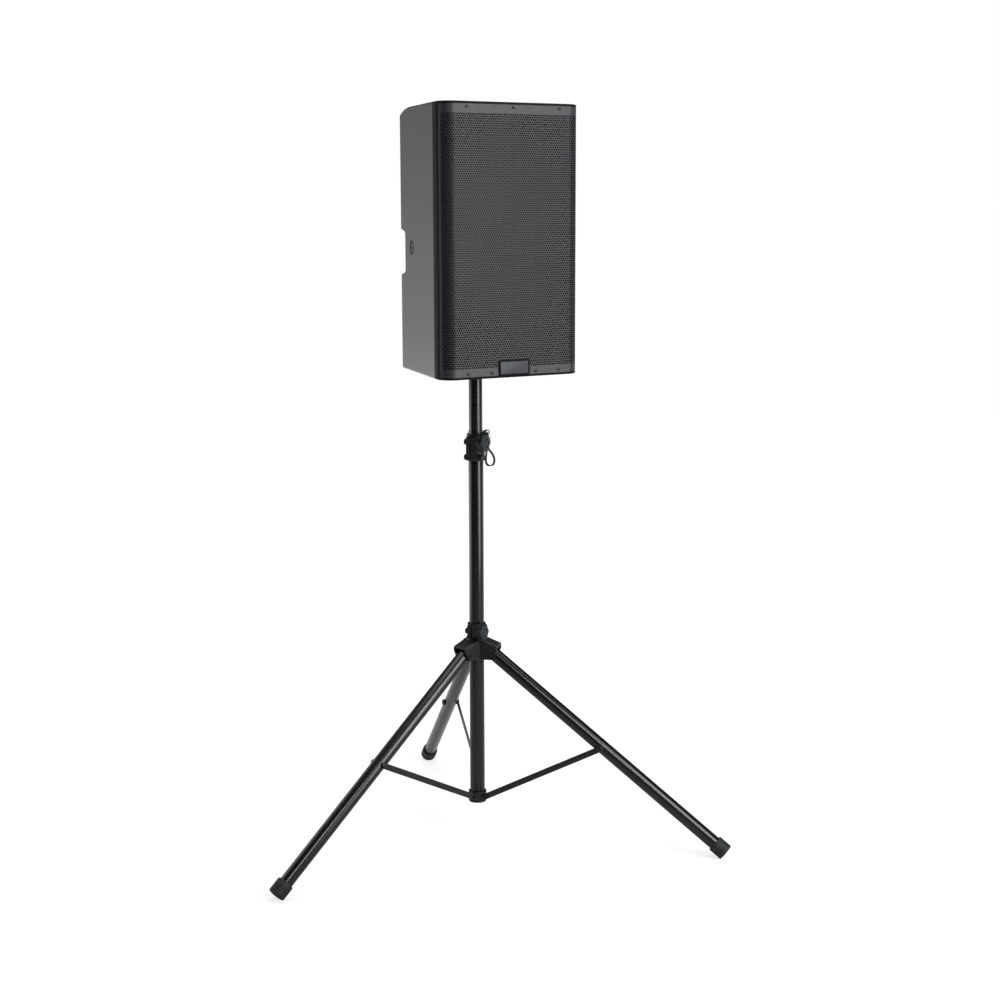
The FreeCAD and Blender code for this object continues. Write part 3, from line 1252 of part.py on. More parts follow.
def rubber_feet():
    feet = []
    low = BASE_Z - PAD_HEIGHT
    for x, y in FOOT_PLACES:
        pad = rod(PAD_R, (x, y, low), (x, y, BASE_Z))
        pad = rounded(pad, 1.2, lambda e: e.BoundBox.ZMax < low + 0.1)
        feet.append(pad.fuse(rod(1.95, (x, y, BASE_Z - 0.5), (x, y, BASE_Z + 8))))
    return feet


def build_stand():
    export("outer_tube", outer_tube())
    export("bottom_ring", bottom_ring())
    export("ring_bolts", *ring_bolts())
    export("upper_collar", upper_collar())
    export("collar_bush", collar_bush())
    export("collar_bolts", *collar_bolts())
    collar_knob = clamp_knob(COLLAR_EAR_RIGHT, COLLAR_KNOB_Z, COLLAR_KNOB_R, COLLAR_KNOB_THICK)
    export("upper_clamp_knob", *collar_knob)
    export("inner_mast", inner_mast())
    export("mast_bush", mast_bush())
    export("locking_pin", *locking_pin())
    export("lanyard", lanyard())
    export("lanyard_crimp", lanyard_crimp())
    export("hub", hub())
    export("hub_bush", hub_bush())
    export("hub_bolts", *hub_bolts())
    export("hub_clamp_knob", *clamp_knob(HUB_EAR_RIGHT, HUB_KNOB_Z, HUB_KNOB_R, HUB_KNOB_THICK))
    for leg, azimuth in LEG_AZIMUTHS.items():
        side = STRUT_SIDES[leg]
        export("leg_tube_" + leg, turned(leg_tube(), azimuth))
        export("leg_fittings_" + leg, *[turned(s, azimuth) for s in leg_fittings(side)])
        export("foot_" + leg, turned(foot(), azimuth))
        export("strut_" + leg, *[turned(s, azimuth) for s in strut(side)])
    export("pole_adapter", adapter())


def build_speaker():
    def place(name, *solids):
        export(name, *[turned(s, SPEAKER_TURN) for s in solids])

    place("front_baffle", front_moulding())
    place("rear_enclosure", rear_enclosure())
    place("handle_cups", *handle_cups())
    place("grille", grille())
    place("grille_foam", grille_foam())
    place("badge", badge())
    place("grille_screws", *grille_screws())
    place("woofer_frame", woofer_frame())
    place("woofer_magnet", *woofer_magnet())
    place("woofer_suspension", *woofer_suspension())
    place("woofer_cone", *woofer_cone())
    place("horn", horn())
    place("compression_driver", compression_driver())
    place("port_tubes", *port_tubes())
    place("amp_panel", amp_panel())
    place("heatsink", heatsink())
    place("circuit_board", circuit_board())
    place("transformer", transformer())
    place("display", display())
    for name in KNOB_PLACES:
        place(name, knob(name))
    for name in BUTTON_PLACES:
        place(name, button(name))
    place("power_rocker", power_rocker())
    place("signal_jacks", *signal_jacks())
    place("power_inlet", power_inlet())
    place("panel_screws", *panel_screws())
    place("pole_socket", pole_socket())
    place("m10_inserts", *m10_inserts())
    place("rubber_feet", *rubber_feet())


build_stand()
build_speaker()
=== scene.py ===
import json
import math

import bmesh
import bpy
from mathutils import Matrix, Vector


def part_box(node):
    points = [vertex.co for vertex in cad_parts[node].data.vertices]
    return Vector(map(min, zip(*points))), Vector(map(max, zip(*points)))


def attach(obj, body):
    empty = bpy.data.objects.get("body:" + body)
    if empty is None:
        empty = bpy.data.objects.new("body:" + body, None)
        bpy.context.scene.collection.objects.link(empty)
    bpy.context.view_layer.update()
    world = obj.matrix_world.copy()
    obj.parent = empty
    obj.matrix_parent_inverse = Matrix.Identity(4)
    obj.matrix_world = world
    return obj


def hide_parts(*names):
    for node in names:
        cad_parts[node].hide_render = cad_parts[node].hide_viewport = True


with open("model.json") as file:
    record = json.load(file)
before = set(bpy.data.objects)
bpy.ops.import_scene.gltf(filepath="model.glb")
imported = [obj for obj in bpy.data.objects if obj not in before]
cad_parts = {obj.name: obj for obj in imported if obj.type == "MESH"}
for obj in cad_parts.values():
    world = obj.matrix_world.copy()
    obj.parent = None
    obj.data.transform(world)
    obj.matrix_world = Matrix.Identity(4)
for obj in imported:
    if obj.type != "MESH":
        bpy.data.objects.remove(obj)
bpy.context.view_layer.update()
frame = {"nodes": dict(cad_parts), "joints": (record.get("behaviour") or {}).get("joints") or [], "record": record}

# Powered loudspeaker on a folding tripod stand.  Sizes in this script are
# millimetres unless a comment says otherwise; meshes are written in metres.
# The camera, the lights and the lanyard's route are in metres.
MM = 0.001
JOINTS = {joint["name"]: joint for joint in frame["joints"]}

# ---- loudspeaker, in its own frame: x right, y to the rear, z up ----
FRONT_Y = -177.3
FLAT_HALF = 144.5
FRONT_CORNER_R = 32.0
PANEL_FACE = 163.0
GRILLE_INSET = 0.4
GRILLE_THICK = 1.5
GRILLE_WRAP = math.radians(74.2)
GRILLE_LOW = 1131.4
GRILLE_HIGH = 1722.6
HOLE_PITCH = 5.66
HOLE_R = 2.12
HOLES_LOW = 1147.5
HOLES_HIGH = 1705.0
GRILLE_SHEETS = 5  # bands that the grille is built in, so that no mesh gets too large
FOAM_LOW, FOAM_HIGH = 1147.0, 1704.0
FOAM_HALF = 149.0
FOAM_FRONT_Y, FOAM_REAR_Y = -174.3, -171.9
BADGE_HALF = 39.5
BADGE_LOW, BADGE_HIGH = 1131.0, 1165.5
LATCH_TAB_X = 32.0
GAIN_DOT_CIRCLE = 12.0
CONTROL_KNOBS = (  # CAD node, body, radius
    ("encoder_knob", "encoder", 12.0),
    ("gain_knob_a", "gain_left", 8.5),
    ("gain_knob_b", "gain_right", 8.5),
)

# ---- stand ----
OUTER_R = 17.7
MAST_R = 15.875
LEG_R = 15.875
LEG_ANGLE = math.radians(52.04)
LEG_LENGTH = 714.0
FOOT_R = 19.9
FOOT_LENGTH = 33.0
STRUT_AT = 337.8
STRUT_SIDES = {"front": 1, "right": -1, "rear": -1}
STRUT_PLANE = 17.0
STRUT_THICK = 3.0
STRUT_HALF = 7.0
PIN_Z = 984.0
PIN_PITCH = 50.0
PIN_HOLE_R = 3.58
PIN_HOLES = 14
PIN_HOLES_BELOW = 11
CLAMP_TURN = math.radians(-27)
CLAMP_BOLT_OFFSET = 25.8
KNOB_LOBES = 6
KNOB_NECK = 5.5
KNOB_DIP = 3.7
KNOB_CORE_R = 9.0
CLAMP_KNOBS = (  # piece, CAD node, body, outer face of the ear, height, radius, thickness
    ("upper_knob_cap", "upper_clamp_knob", "upper_knob", 20.0, 963.0, 24.5, 16.0),
    ("hub_knob_cap", "hub_clamp_knob", "hub_knob", 16.7, 511.0, 22.0, 14.0),
)

# The lanyard's route, in metres.
LANYARD_ROUTE = [
    (0.0298, 0.0, 0.950), (0.0298, 0.0, 0.9443), (0.0336, -0.0003, 0.9382), (0.0396, -0.0005, 0.931),
    (0.0433, -0.0008, 0.9215), (0.0434, -0.0009, 0.911), (0.0397, -0.001, 0.9055), (0.0334, -0.001, 0.9035),
    (0.0272, -0.001, 0.9055), (0.0235, -0.0009, 0.911), (0.0232, -0.0008, 0.921), (0.0245, -0.0005, 0.9315),
    (0.0262, 0.0, 0.942), (0.0262, 0.0, 0.950),
]
LANYARD_WIDTH = 5.6
LANYARD_THICK = 1.9
LANYARD_END_TURN = math.radians(72)
LANYARD_TURN = math.radians(34)


# ---- finishes: colour, roughness, metallic, then (feature size in mm, strength) pairs ----
BLACK = (0.0125, 0.0130, 0.0140)
FINISHES = {
    "tube_paint": dict(colour=(0.0062, 0.0065, 0.0068), rough=0.25, grain=(0.9, 0.001), spread=0.02,
                       coat=0.2),
    "mast_paint": dict(colour=(0.0070, 0.0074, 0.0078), rough=0.27, grain=(0.9, 0.001), spread=0.02,
                       coat=0.2),
    "strut_paint": dict(colour=(0.010, 0.0105, 0.011), rough=0.34, grain=(0.9, 0.012), worn=0.3),
    "casting": dict(colour=(0.0095, 0.0118, 0.0135), rough=0.48, grain=(0.7, 0.012), pebble=(0.9, 0.012),
                    worn=0.2, specular=0.4),
    "bolt_black": dict(colour=(0.013, 0.0135, 0.015), rough=0.38, metallic=0.6, grain=(0.5, 0.008), worn=0.4),
    "bush_plastic": dict(colour=BLACK, rough=0.42),
    "knob_plastic": dict(colour=(0.0095, 0.0122, 0.0142), rough=0.46, grain=(0.6, 0.012), pebble=(0.8, 0.015),
                         specular=0.4),
    "pin_steel": dict(colour=(0.56, 0.56, 0.57), rough=0.24, metallic=1.0, grain=(0.4, 0.004),
                      mottle=(6.0, 0.12)),
    "rubber": dict(colour=(0.016, 0.017, 0.018), rough=0.62, grain=(0.5, 0.03), specular=0.4),
    "front_plastic": dict(colour=(0.0045, 0.0052, 0.0058), rough=0.68, pebble=(0.7, 0.015), specular=0.12),
    "rear_plastic": dict(colour=(0.022, 0.0223, 0.023), rough=0.38, grain=(0.5, 0.02), mottle=(180.0, 0.12),
                         pebble=(1.1, 0.04), spread=0.05),
    "grille_paint": dict(colour=(0.023, 0.0255, 0.029), rough=0.45, grain=(0.35, 0.014), mottle=(90.0, 0.1)),
    "foam": dict(colour=(0.004, 0.004, 0.0045), rough=0.95, grain=(0.9, 0.5), pebble=(1.6, 0.5), specular=0.1,
                 sheen=0.1),
    "badge_plate": dict(colour=(0.042, 0.047, 0.052), rough=0.5, metallic=0.3, grain=(0.5, 0.01),
                        stretch=(0.06, 0.06, 1.0)),
    "basket_paint": dict(colour=BLACK, rough=0.5, metallic=0.2),
    "magnet_iron": dict(colour=(0.07, 0.07, 0.075), rough=0.55, metallic=0.4, grain=(1.2, 0.06)),
    "surround_rubber": dict(colour=BLACK, rough=0.6),
    "cone_paper": dict(colour=(0.02, 0.02, 0.02), rough=0.8, grain=(1.5, 0.12), specular=0.2),
    "horn_plastic": dict(colour=BLACK, rough=0.4, pebble=(0.8, 0.02)),
    "driver_iron": dict(colour=BLACK, rough=0.45, metallic=0.3),
    "panel_paint": dict(colour=(0.018, 0.0185, 0.0195), rough=0.5, grain=(0.5, 0.03), pebble=(0.6, 0.03)),
    "heatsink_metal": dict(colour=(0.035, 0.035, 0.038), rough=0.36, metallic=0.8, grain=(0.4, 0.01),
                           stretch=(1.0, 1.0, 0.08)),
    "board_laminate": dict(colour=(0.012, 0.085, 0.035), rough=0.4, mottle=(12.0, 0.3)),
    "winding": dict(colour=(0.35, 0.13, 0.05), rough=0.35, metallic=0.9, grain=(0.8, 0.15),
                    stretch=(1.0, 0.1, 1.0)),
    "display_glass": dict(colour=(0.003, 0.004, 0.008), rough=0.08, grain=(4.0, 0.002), coat=1.0),
    "control_plastic": dict(colour=(0.02, 0.0205, 0.022), rough=0.55, grain=(0.4, 0.02), specular=0.4),
    "rocker_plastic": dict(colour=(0.014, 0.014, 0.015), rough=0.3),
    "jack_plastic": dict(colour=(0.012, 0.012, 0.013), rough=0.4, grain=(0.5, 0.02)),
    "socket_metal": dict(colour=(0.28, 0.28, 0.29), rough=0.42, metallic=0.9, grain=(1.0, 0.05),
                         mottle=(15.0, 0.2)),
    "insert_steel": dict(colour=(0.06, 0.06, 0.062), rough=0.5, metallic=0.4, grain=(0.5, 0.015)),
    "mark_white": dict(colour=(0.62, 0.63, 0.64), rough=0.5, mottle=(3.0, 0.08)),
    "contact_metal": dict(colour=(0.75, 0.62, 0.30), rough=0.25, metallic=1.0, grain=(0.3, 0.01)),
}


# ---- camera ----

CAMERA_AT = (0.0564, -4.0699, 1.49995)
CAMERA_LENS = 63.09
CAMERA_DOWN_DEG = 9.458
CAMERA_ROLL_DEG = -0.175


def make_camera():
    """The photograph's camera, as fitted to the cabinet's edges and the legs."""
    data = bpy.data.cameras.new("camera")
    data.lens = CAMERA_LENS
    data.sensor_width = 36.0
    camera = bpy.data.objects.new("camera", data)
    bpy.context.scene.collection.objects.link(camera)
    tilt = Matrix.Rotation(math.radians(90 - CAMERA_DOWN_DEG), 4, "X")
    roll = Matrix.Rotation(math.radians(CAMERA_ROLL_DEG), 4, "Z")
    camera.matrix_world = Matrix.Translation(CAMERA_AT) @ tilt @ roll
    bpy.context.scene.camera = camera


# ---- mesh helpers ----

def speaker_matrix():
    """Turns the loudspeaker's own frame into the row's frame."""
    forward = JOINTS["cone_travel"]["axis"]
    return Matrix.Rotation(math.atan2(forward[0], -forward[1]), 4, "Z")


def leg_matrix(leg):
    """Turns a leg built along +X to its place round the mast."""
    axis = JOINTS[leg + "_leg_fold"]["axis"]
    return Matrix.Rotation(math.atan2(-axis[0], axis[1]), 4, "Z")


def axis_matrix(origin, axis, across=(0, 0, 1)):
    """Frame whose Z runs along axis from origin, both in millimetres."""
    z = Vector(axis).normalized()
    x = Vector(across)
    x = x - z * x.dot(z)
    if x.length < 0.01:
        x = Vector((1, 0, 0)) - z * z.x
    x.normalize()
    y = z.cross(x)
    turn = Matrix((x, y, z)).transposed().to_4x4()
    return Matrix.Translation(Vector(origin)) @ turn


def mesh_object(name, vertices, faces, matrix=None, sharp=35.0):
    """Object at the row's origin from vertices in millimetres."""
    mesh = bpy.data.meshes.new(name)
    place = Matrix.Scale(MM, 4) @ (matrix or Matrix.Identity(4))
    mesh.from_pydata([place @ Vector(v) for v in vertices], [], faces)
    mesh.validate()
    mesh.update()
    obj = bpy.data.objects.new(name, mesh)
    bpy.context.scene.collection.objects.link(obj)
    smooth(obj, sharp)
    return obj


def smooth(obj, sharp=35.0):
    """Smooth shading, except across edges sharper than sharp degrees."""
    mesh = obj.data
    mesh.polygons.foreach_set("use_smooth", [True] * len(mesh.polygons))
    mesh.set_sharp_from_angle(angle=math.radians(sharp))


def outward(obj):
    """Makes all face normals point out of the closed mesh."""
    mesh = bmesh.new()
    mesh.from_mesh(obj.data)
    bmesh.ops.remove_doubles(mesh, verts=mesh.verts, dist=1e-7)
    bmesh.ops.recalc_face_normals(mesh, faces=mesh.faces)
    mesh.to_mesh(obj.data)
    mesh.free()
    return obj


def lathe(name, profile, matrix, segments=96, radius_at=None, sharp=35.0):
    """Closed solid turned about Z; profile holds (radius, height) points round a closed loop."""
    vertices, rings = [], []
    for radius, height in profile:
        if radius < 1e-6:
            rings.append([len(vertices)] * segments)
            vertices.append((0, 0, height))
            continue
        ring = []
        for k in range(segments):
            a = 2 * math.pi * k / segments
            r = radius_at(radius, a) if radius_at else radius
            ring.append(len(vertices))
            vertices.append((r * math.cos(a), r * math.sin(a), height))
        rings.append(ring)
    faces = []
    on_axis = profile[0][0] < 1e-6 and profile[-1][0] < 1e-6
    pairs = list(zip(rings, rings[1:])) + ([] if on_axis else [(rings[-1], rings[0])])
    for low, high in pairs:
        for k in range(segments):
            n = (k + 1) % segments
            face = [low[k], low[n], high[n], high[k]]
            face = [v for i, v in enumerate(face) if v != face[i - 1]]
            if len(face) > 2:
                faces.append(face)
    return outward(mesh_object(name, vertices, faces, matrix, sharp))


def round_corner(r0, h0, r1, h1, steps=5):
    """Quarter ellipse from (r0, h0), leaving along the height, to (r1, h1), arriving along the radius."""
    points = []
    for k in range(steps + 1):
        a = math.pi / 2 * k / steps
        points.append((r1 + (r0 - r1) * math.cos(a), h0 + (h1 - h0) * math.sin(a)))
    return points


def rounded_rod_profile(radius, low, high, edge):
    """Profile of a solid rod with both rims rounded."""
    top = round_corner(radius, high - edge, radius - edge, high)
    bottom = round_corner(radius, low + edge, radius - edge, low)[::-1]
    return [(0, low)] + bottom + top + [(0, high)]


def tube_profile(outer, inner, low, high, edge=0.5):
    """Profile of a plain tube with both outer rims rounded."""
    return (round_corner(outer, high - edge, outer - edge, high, 3)
            + [(inner, high)] + [(inner, low)]
            + round_corner(outer, low + edge, outer - edge, low, 3)[::-1])


def add_bevel(obj, width, segments=3, angle=35.0):
    bevel = obj.modifiers.new("rounded_edges", "BEVEL")
    bevel.width = width * MM
    bevel.segments = segments
    bevel.limit_method = "ANGLE"
    bevel.angle_limit = math.radians(angle)
    bevel.harden_normals = False
    return obj


def apply_modifiers(obj):
    graph = bpy.context.evaluated_depsgraph_get()
    graph.update()
    mesh = bpy.data.meshes.new_from_object(obj.evaluated_get(graph))
    obj.modifiers.clear()
    obj.data = mesh
    return obj


def cut(obj, tools):
    """Cuts closed tool objects out of obj and deletes them."""
    for tool in tools:
        modifier = obj.modifiers.new("cut", "BOOLEAN")
        modifier.operation = "DIFFERENCE"
        modifier.solver = "EXACT"
        modifier.object = tool
    apply_modifiers(obj)
    for tool in tools:
        bpy.data.objects.remove(tool)
    return obj


def joined(name, objects):
    """One object from several, each staying its own closed shell."""
    mesh = bmesh.new()
    for obj in objects:
        mesh.from_mesh(obj.data)
    data = bpy.data.meshes.new(name)
    mesh.to_mesh(data)
    mesh.free()
    for obj in objects:
        bpy.data.objects.remove(obj)
    whole = bpy.data.objects.new(name, data)
    bpy.context.scene.collection.objects.link(whole)
    return whole


def block(name, low, high, matrix=None, edge=0.0, segments=3):
    """Box with rounded edges."""
    (x0, y0, z0), (x1, y1, z1) = low, high
    vertices = [(x, y, z) for z in (z0, z1) for y in (y0, y1) for x in (x0, x1)]
    faces = [(0, 2, 3, 1), (4, 5, 7, 6), (0, 1, 5, 4), (2, 6, 7, 3), (0, 4, 6, 2), (1, 3, 7, 5)]
    obj = outward(mesh_object(name, vertices, faces, matrix))
    if edge:
        add_bevel(obj, edge, segments)
        apply_modifiers(obj)
        smooth(obj)
    return obj


def extruded(name, outline, low, high, matrix=None, edge=0.0):
    """Straight prism over a closed outline of (x, y), from height low to high, edges rounded."""
    count = len(outline)
    vertices = [(x, y, low) for x, y in outline] + [(x, y, high) for x, y in outline]
    faces = [list(range(count))[::-1], list(range(count, 2 * count))]
    faces += [(k, (k + 1) % count, count + (k + 1) % count, count + k) for k in range(count)]
    obj = outward(mesh_object(name, vertices, faces, matrix))
    if edge:
        add_bevel(obj, edge, 3, 50.0)
        apply_modifiers(obj)
        smooth(obj)
    return obj


def softened(name, node, voxel, rounds):
    """Moulded copy of a CAD node: every edge gets the small radius of a casting."""
    obj = bpy.data.objects.new(name, frame["nodes"][node].data.copy())
    obj.data.materials.clear()
    bpy.context.scene.collection.objects.link(obj)
    remesh = obj.modifiers.new("remesh", "REMESH")
    remesh.mode = "VOXEL"
    remesh.voxel_size = voxel * MM
    relax = obj.modifiers.new("relax", "SMOOTH")
    relax.iterations = rounds
    relax.factor = 0.5
    apply_modifiers(obj)
    smooth(obj, 80.0)
    return obj


def lean(obj, ratio):
    """Thins a dense mesh to the given share of its faces."""
    decimate = obj.modifiers.new("lean", "DECIMATE")
    decimate.ratio = ratio
    return apply_modifiers(obj)


def settle(obj, body, slot, material, *nodes):
    """Gives a finished piece its material and its body, and hides the CAD nodes that it stands for."""
    obj.data.materials.clear()
    obj.data.materials.append(material)
    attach(obj, body)
    if nodes:
        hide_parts(*nodes)
    return obj


# ---- materials ----

def link(tree, source, target):
    tree.links.new(source, target)


def noise(tree, coords, size_mm, detail=3.0, roughness=0.55, stretch=None):
    """Noise whose features are about size_mm across; stretch scales it along X, Y and Z."""
    node = tree.nodes.new("ShaderNodeTexNoise")
    node.inputs["Scale"].default_value = 1.0 / (size_mm * MM)
    node.inputs["Detail"].default_value = detail
    node.inputs["Roughness"].default_value = roughness
    if stretch:
        mapping = tree.nodes.new("ShaderNodeMapping")
        mapping.inputs["Scale"].default_value = stretch
        link(tree, coords, mapping.inputs["Vector"])
        coords = mapping.outputs["Vector"]
    link(tree, coords, node.inputs["Vector"])
    return node.outputs["Fac"]


def pebbles(tree, coords, size_mm):
    """Rounded pebble pattern of a spark-eroded mould."""
    node = tree.nodes.new("ShaderNodeTexVoronoi")
    node.feature = "SMOOTH_F1"
    node.inputs["Scale"].default_value = 1.0 / (size_mm * MM)
    node.inputs["Smoothness"].default_value = 0.6
    link(tree, coords, node.inputs["Vector"])
    return node.outputs["Distance"]


def remap(tree, value, low, high, start=0.3, end=0.7):
    """Carries value from the range start..end over to low..high, held at both ends."""
    node = tree.nodes.new("ShaderNodeMapRange")
    node.inputs["From Min"].default_value = start
    node.inputs["From Max"].default_value = end
    node.inputs["To Min"].default_value = low
    node.inputs["To Max"].default_value = high
    link(tree, value, node.inputs["Value"])
    return node.outputs["Result"]


def blended(tree, factor, first, second):
    """Mix of two colours, each a fixed colour or a socket."""
    node = tree.nodes.new("ShaderNodeMix")
    node.data_type = "RGBA"
    for socket, value in (("A", first), ("B", second)):
        target = [s for s in node.inputs if s.name == socket and s.type == "RGBA"][0]
        if isinstance(value, tuple):
            target.default_value = value
        else:
            link(tree, value, target)
    link(tree, factor, node.inputs["Factor"])
    return [s for s in node.outputs if s.type == "RGBA"][0]


def bumped(tree, heights):
    """Chain of bumps; heights is a list of (value, depth in mm)."""
    normal = None
    for value, depth_mm in heights:
        bump = tree.nodes.new("ShaderNodeBump")
        bump.inputs["Distance"].default_value = depth_mm * MM
        bump.inputs["Strength"].default_value = 1.0
        link(tree, value, bump.inputs["Height"])
        if normal:
            link(tree, normal, bump.inputs["Normal"])
        normal = bump.outputs["Normal"]
    return normal


def shade(colour, factor):
    """Lighter or darker copy of a colour, with its alpha added."""
    return tuple(min(1.0, channel * factor) for channel in colour) + (1.0,)


def surface(name, colour, rough, metallic=0.0, grain=(0.8, 0.012), mottle=(60.0, 0.18), spread=0.06,
            worn=0.0, specular=0.5, pebble=None, stretch=None, coat=0.0, sheen=0.0):
    """Procedural finish: mottled colour, uneven roughness and a fine grain, all at real scale in mm."""
    material = bpy.data.materials.new(name)
    material.use_nodes = True
    tree = material.node_tree
    shader = tree.nodes["Principled BSDF"]
    coords = tree.nodes.new("ShaderNodeTexCoord").outputs["Object"]
    wide = noise(tree, coords, mottle[0], 4.0)
    fine = noise(tree, coords, grain[0] * 3.0, 3.0, stretch=stretch)
    dark, light = shade(colour, 1 - mottle[1]), shade(colour, 1 + mottle[1])
    tone = blended(tree, remap(tree, wide, 0.0, 1.0), dark, light)
    tone = blended(tree, remap(tree, fine, 0.0, 0.35), tone, shade(colour, 1.6))
    if worn:
        edge = tree.nodes.new("ShaderNodeNewGeometry").outputs["Pointiness"]
        tone = blended(tree, remap(tree, edge, 0.0, worn, 0.52, 0.62), tone, shade(colour, 4.0))
    link(tree, tone, shader.inputs["Base Color"])
    link(tree, remap(tree, fine, rough - spread, rough + spread), shader.inputs["Roughness"])
    heights = [(noise(tree, coords, grain[0], 2.0, stretch=stretch), grain[1])]
    if pebble:
        heights.append((pebbles(tree, coords, pebble[0]), pebble[1]))
    link(tree, bumped(tree, heights), shader.inputs["Normal"])
    shader.inputs["Metallic"].default_value = metallic
    shader.inputs["Specular IOR Level"].default_value = specular
    if coat:
        shader.inputs["Coat Weight"].default_value = coat
        shader.inputs["Coat Roughness"].default_value = 0.12
    if sheen:
        shader.inputs["Sheen Weight"].default_value = sheen
        shader.inputs["Sheen Roughness"].default_value = 0.5
    return material


def webbing(name, colour, width_mm):
    """Woven band: fine diagonal ribs along the band."""
    material = surface(name, colour, 0.78, grain=(0.35, 0.05), mottle=(8.0, 0.25), sheen=0.25, specular=0.3)
    tree = material.node_tree
    shader = tree.nodes["Principled BSDF"]
    coords = tree.nodes.new("ShaderNodeTexCoord").outputs["Object"]
    weave = tree.nodes.new("ShaderNodeTexWave")
    weave.wave_type = "BANDS"
    weave.bands_direction = "DIAGONAL"
    weave.inputs["Scale"].default_value = 6.0 / (width_mm * MM) / 6.2832
    weave.inputs["Distortion"].default_value = 0.4
    link(tree, coords, weave.inputs["Vector"])
    bump = tree.nodes.new("ShaderNodeBump")
    bump.inputs["Distance"].default_value = 0.12 * MM
    link(tree, weave.outputs["Fac"], bump.inputs["Height"])
    link(tree, bump.outputs["Normal"], shader.inputs["Normal"])
    return material


def make_materials():
    """One finish for each of the record's slots."""
    finishes = {name: surface(name, **look) for name, look in FINISHES.items()}
    finishes["lanyard_cord"] = webbing("lanyard_cord", (0.012, 0.012, 0.013), LANYARD_WIDTH)
    return finishes


def dress_frame(materials):
    """Every carried-over CAD node gets its slot's finish and smooth shading inside each of its faces."""
    slots = {part["node"]: part["material_slot"] for part in frame["record"]["subparts"]}
    for name, node in frame["nodes"].items():
        node.data.materials.clear()
        node.data.materials.append(materials[slots[name]])
        node.data.polygons.foreach_set("use_smooth", [True] * len(node.data.polygons))


# ---- lanyard ----

def spline_points(curve):
    """Points along a curve with no bevel."""
    graph = bpy.context.evaluated_depsgraph_get()
    graph.update()
    mesh = bpy.data.meshes.new_from_object(curve.evaluated_get(graph))
    points = [v.co.copy() for v in mesh.vertices]
    bpy.data.meshes.remove(mesh)
    return points


def make_lanyard(materials):
    """Flat woven strap, both ends in the crimp, hanging as one loop."""
    data = bpy.data.curves.new("lanyard_line", "CURVE")
    data.dimensions = "3D"
    data.resolution_u = 12
    spline = data.splines.new("NURBS")
    spline.points.add(len(LANYARD_ROUTE) - 1)
    for point, place in zip(spline.points, LANYARD_ROUTE):
        point.co = (*place, 1.0)
    spline.order_u = 3
    spline.use_endpoint_u = True
    line = bpy.data.objects.new("lanyard_line", data)
    bpy.context.scene.collection.objects.link(line)
    points = spline_points(line)
    bpy.data.objects.remove(line)
    wide_half, thick_half, corner = LANYARD_WIDTH / 2 * MM, LANYARD_THICK / 2 * MM, 0.35
    lower = [(-1, -corner), (-0.9, -1), (0, -0.86), (0.9, -1), (1, -corner)]
    section = [(wide_half * a, thick_half * b) for a, b in lower + [(-a, -b) for a, b in lower]]
    vertices, faces = [], []
    for k, point in enumerate(points):
        ahead = (points[min(k + 1, len(points) - 1)] - points[max(k - 1, 0)]).normalized()
        along = k / (len(points) - 1)
        twist = LANYARD_END_TURN + (LANYARD_TURN - LANYARD_END_TURN) * min(1.0, 6 * along, 6 * (1 - along))
        across = Vector((math.cos(twist), math.sin(twist), 0.0))
        wide = (across - ahead * across.dot(ahead)).normalized()
        flat = ahead.cross(wide)
        vertices += [(point + wide * a + flat * b) / MM for a, b in section]
    count = len(section)
    for k in range(len(points) - 1):
        for i in range(count):
            n = (i + 1) % count
            faces.append((k * count + i, k * count + n, (k + 1) * count + n, (k + 1) * count + i))
    faces.append(tuple(range(count))[::-1])
    faces.append(tuple(range(len(vertices) - count, len(vertices))))
    strap = outward(mesh_object("lanyard_strap", vertices, faces, sharp=60.0))
    settle(strap, "pin", "lanyard_cord", materials["lanyard_cord"], "lanyard")


# ---- stand ----

def along_leg(leg, distance, side=0.0):
    """Point on a leg's axis, or beside it, in the row's frame; the leg is built along +X."""
    pivot = JOINTS[leg + "_leg_fold"]["pos_m"]
    radius, height = math.hypot(pivot[0], pivot[1]) / MM, pivot[2] / MM
    place = Vector((radius + distance * math.sin(LEG_ANGLE), side, height - distance * math.cos(LEG_ANGLE)))
    return leg_matrix(leg) @ place


def leg_frame(leg):
    """Frame whose Z runs down the leg from its pivot, in millimetres."""
    return axis_matrix(along_leg(leg, 0), along_leg(leg, 1) - along_leg(leg, 0))


def dome_profile(radius, end, steps=12):
    """Tube closed by a half sphere below height 0 and plain at its other end."""
    points = [(0, -radius)]
    for k in range(1, steps + 1):
        a = math.pi / 2 * k / steps
        points.append((radius * math.sin(a), -radius * math.cos(a)))
    return points + round_corner(radius, end - 0.8, radius - 0.8, end) + [(0, end)]


def foot_profile():
    """Rubber foot over the end of a leg tube: a soft rim, three grip rings and a rounded sole."""
    mouth_r, mouth = LEG_R + 0.05, LEG_LENGTH - FOOT_LENGTH
    seat, sole = LEG_LENGTH - 6, LEG_LENGTH
    profile = [(0, seat), (mouth_r, seat), (mouth_r, mouth)]
    profile += round_corner(mouth_r, mouth, FOOT_R - 0.9, mouth)[1:]
    profile += [(FOOT_R - 0.2, mouth + 0.5), (FOOT_R, mouth + 2.0)]
    for k in range(3):
        at = sole - 19.5 + 5.0 * k
        profile += [(FOOT_R, at), (FOOT_R - 0.25, at + 0.2), (FOOT_R - 0.8, at + 0.4)]
        profile += [(FOOT_R - 0.8, at + 1.1), (FOOT_R - 0.25, at + 1.3), (FOOT_R, at + 1.5)]
    profile += round_corner(FOOT_R, sole - 2.0, FOOT_R - 2.0, sole)
    return profile + [(FOOT_R * 0.5, sole - 0.1), (0, sole - 0.3)]


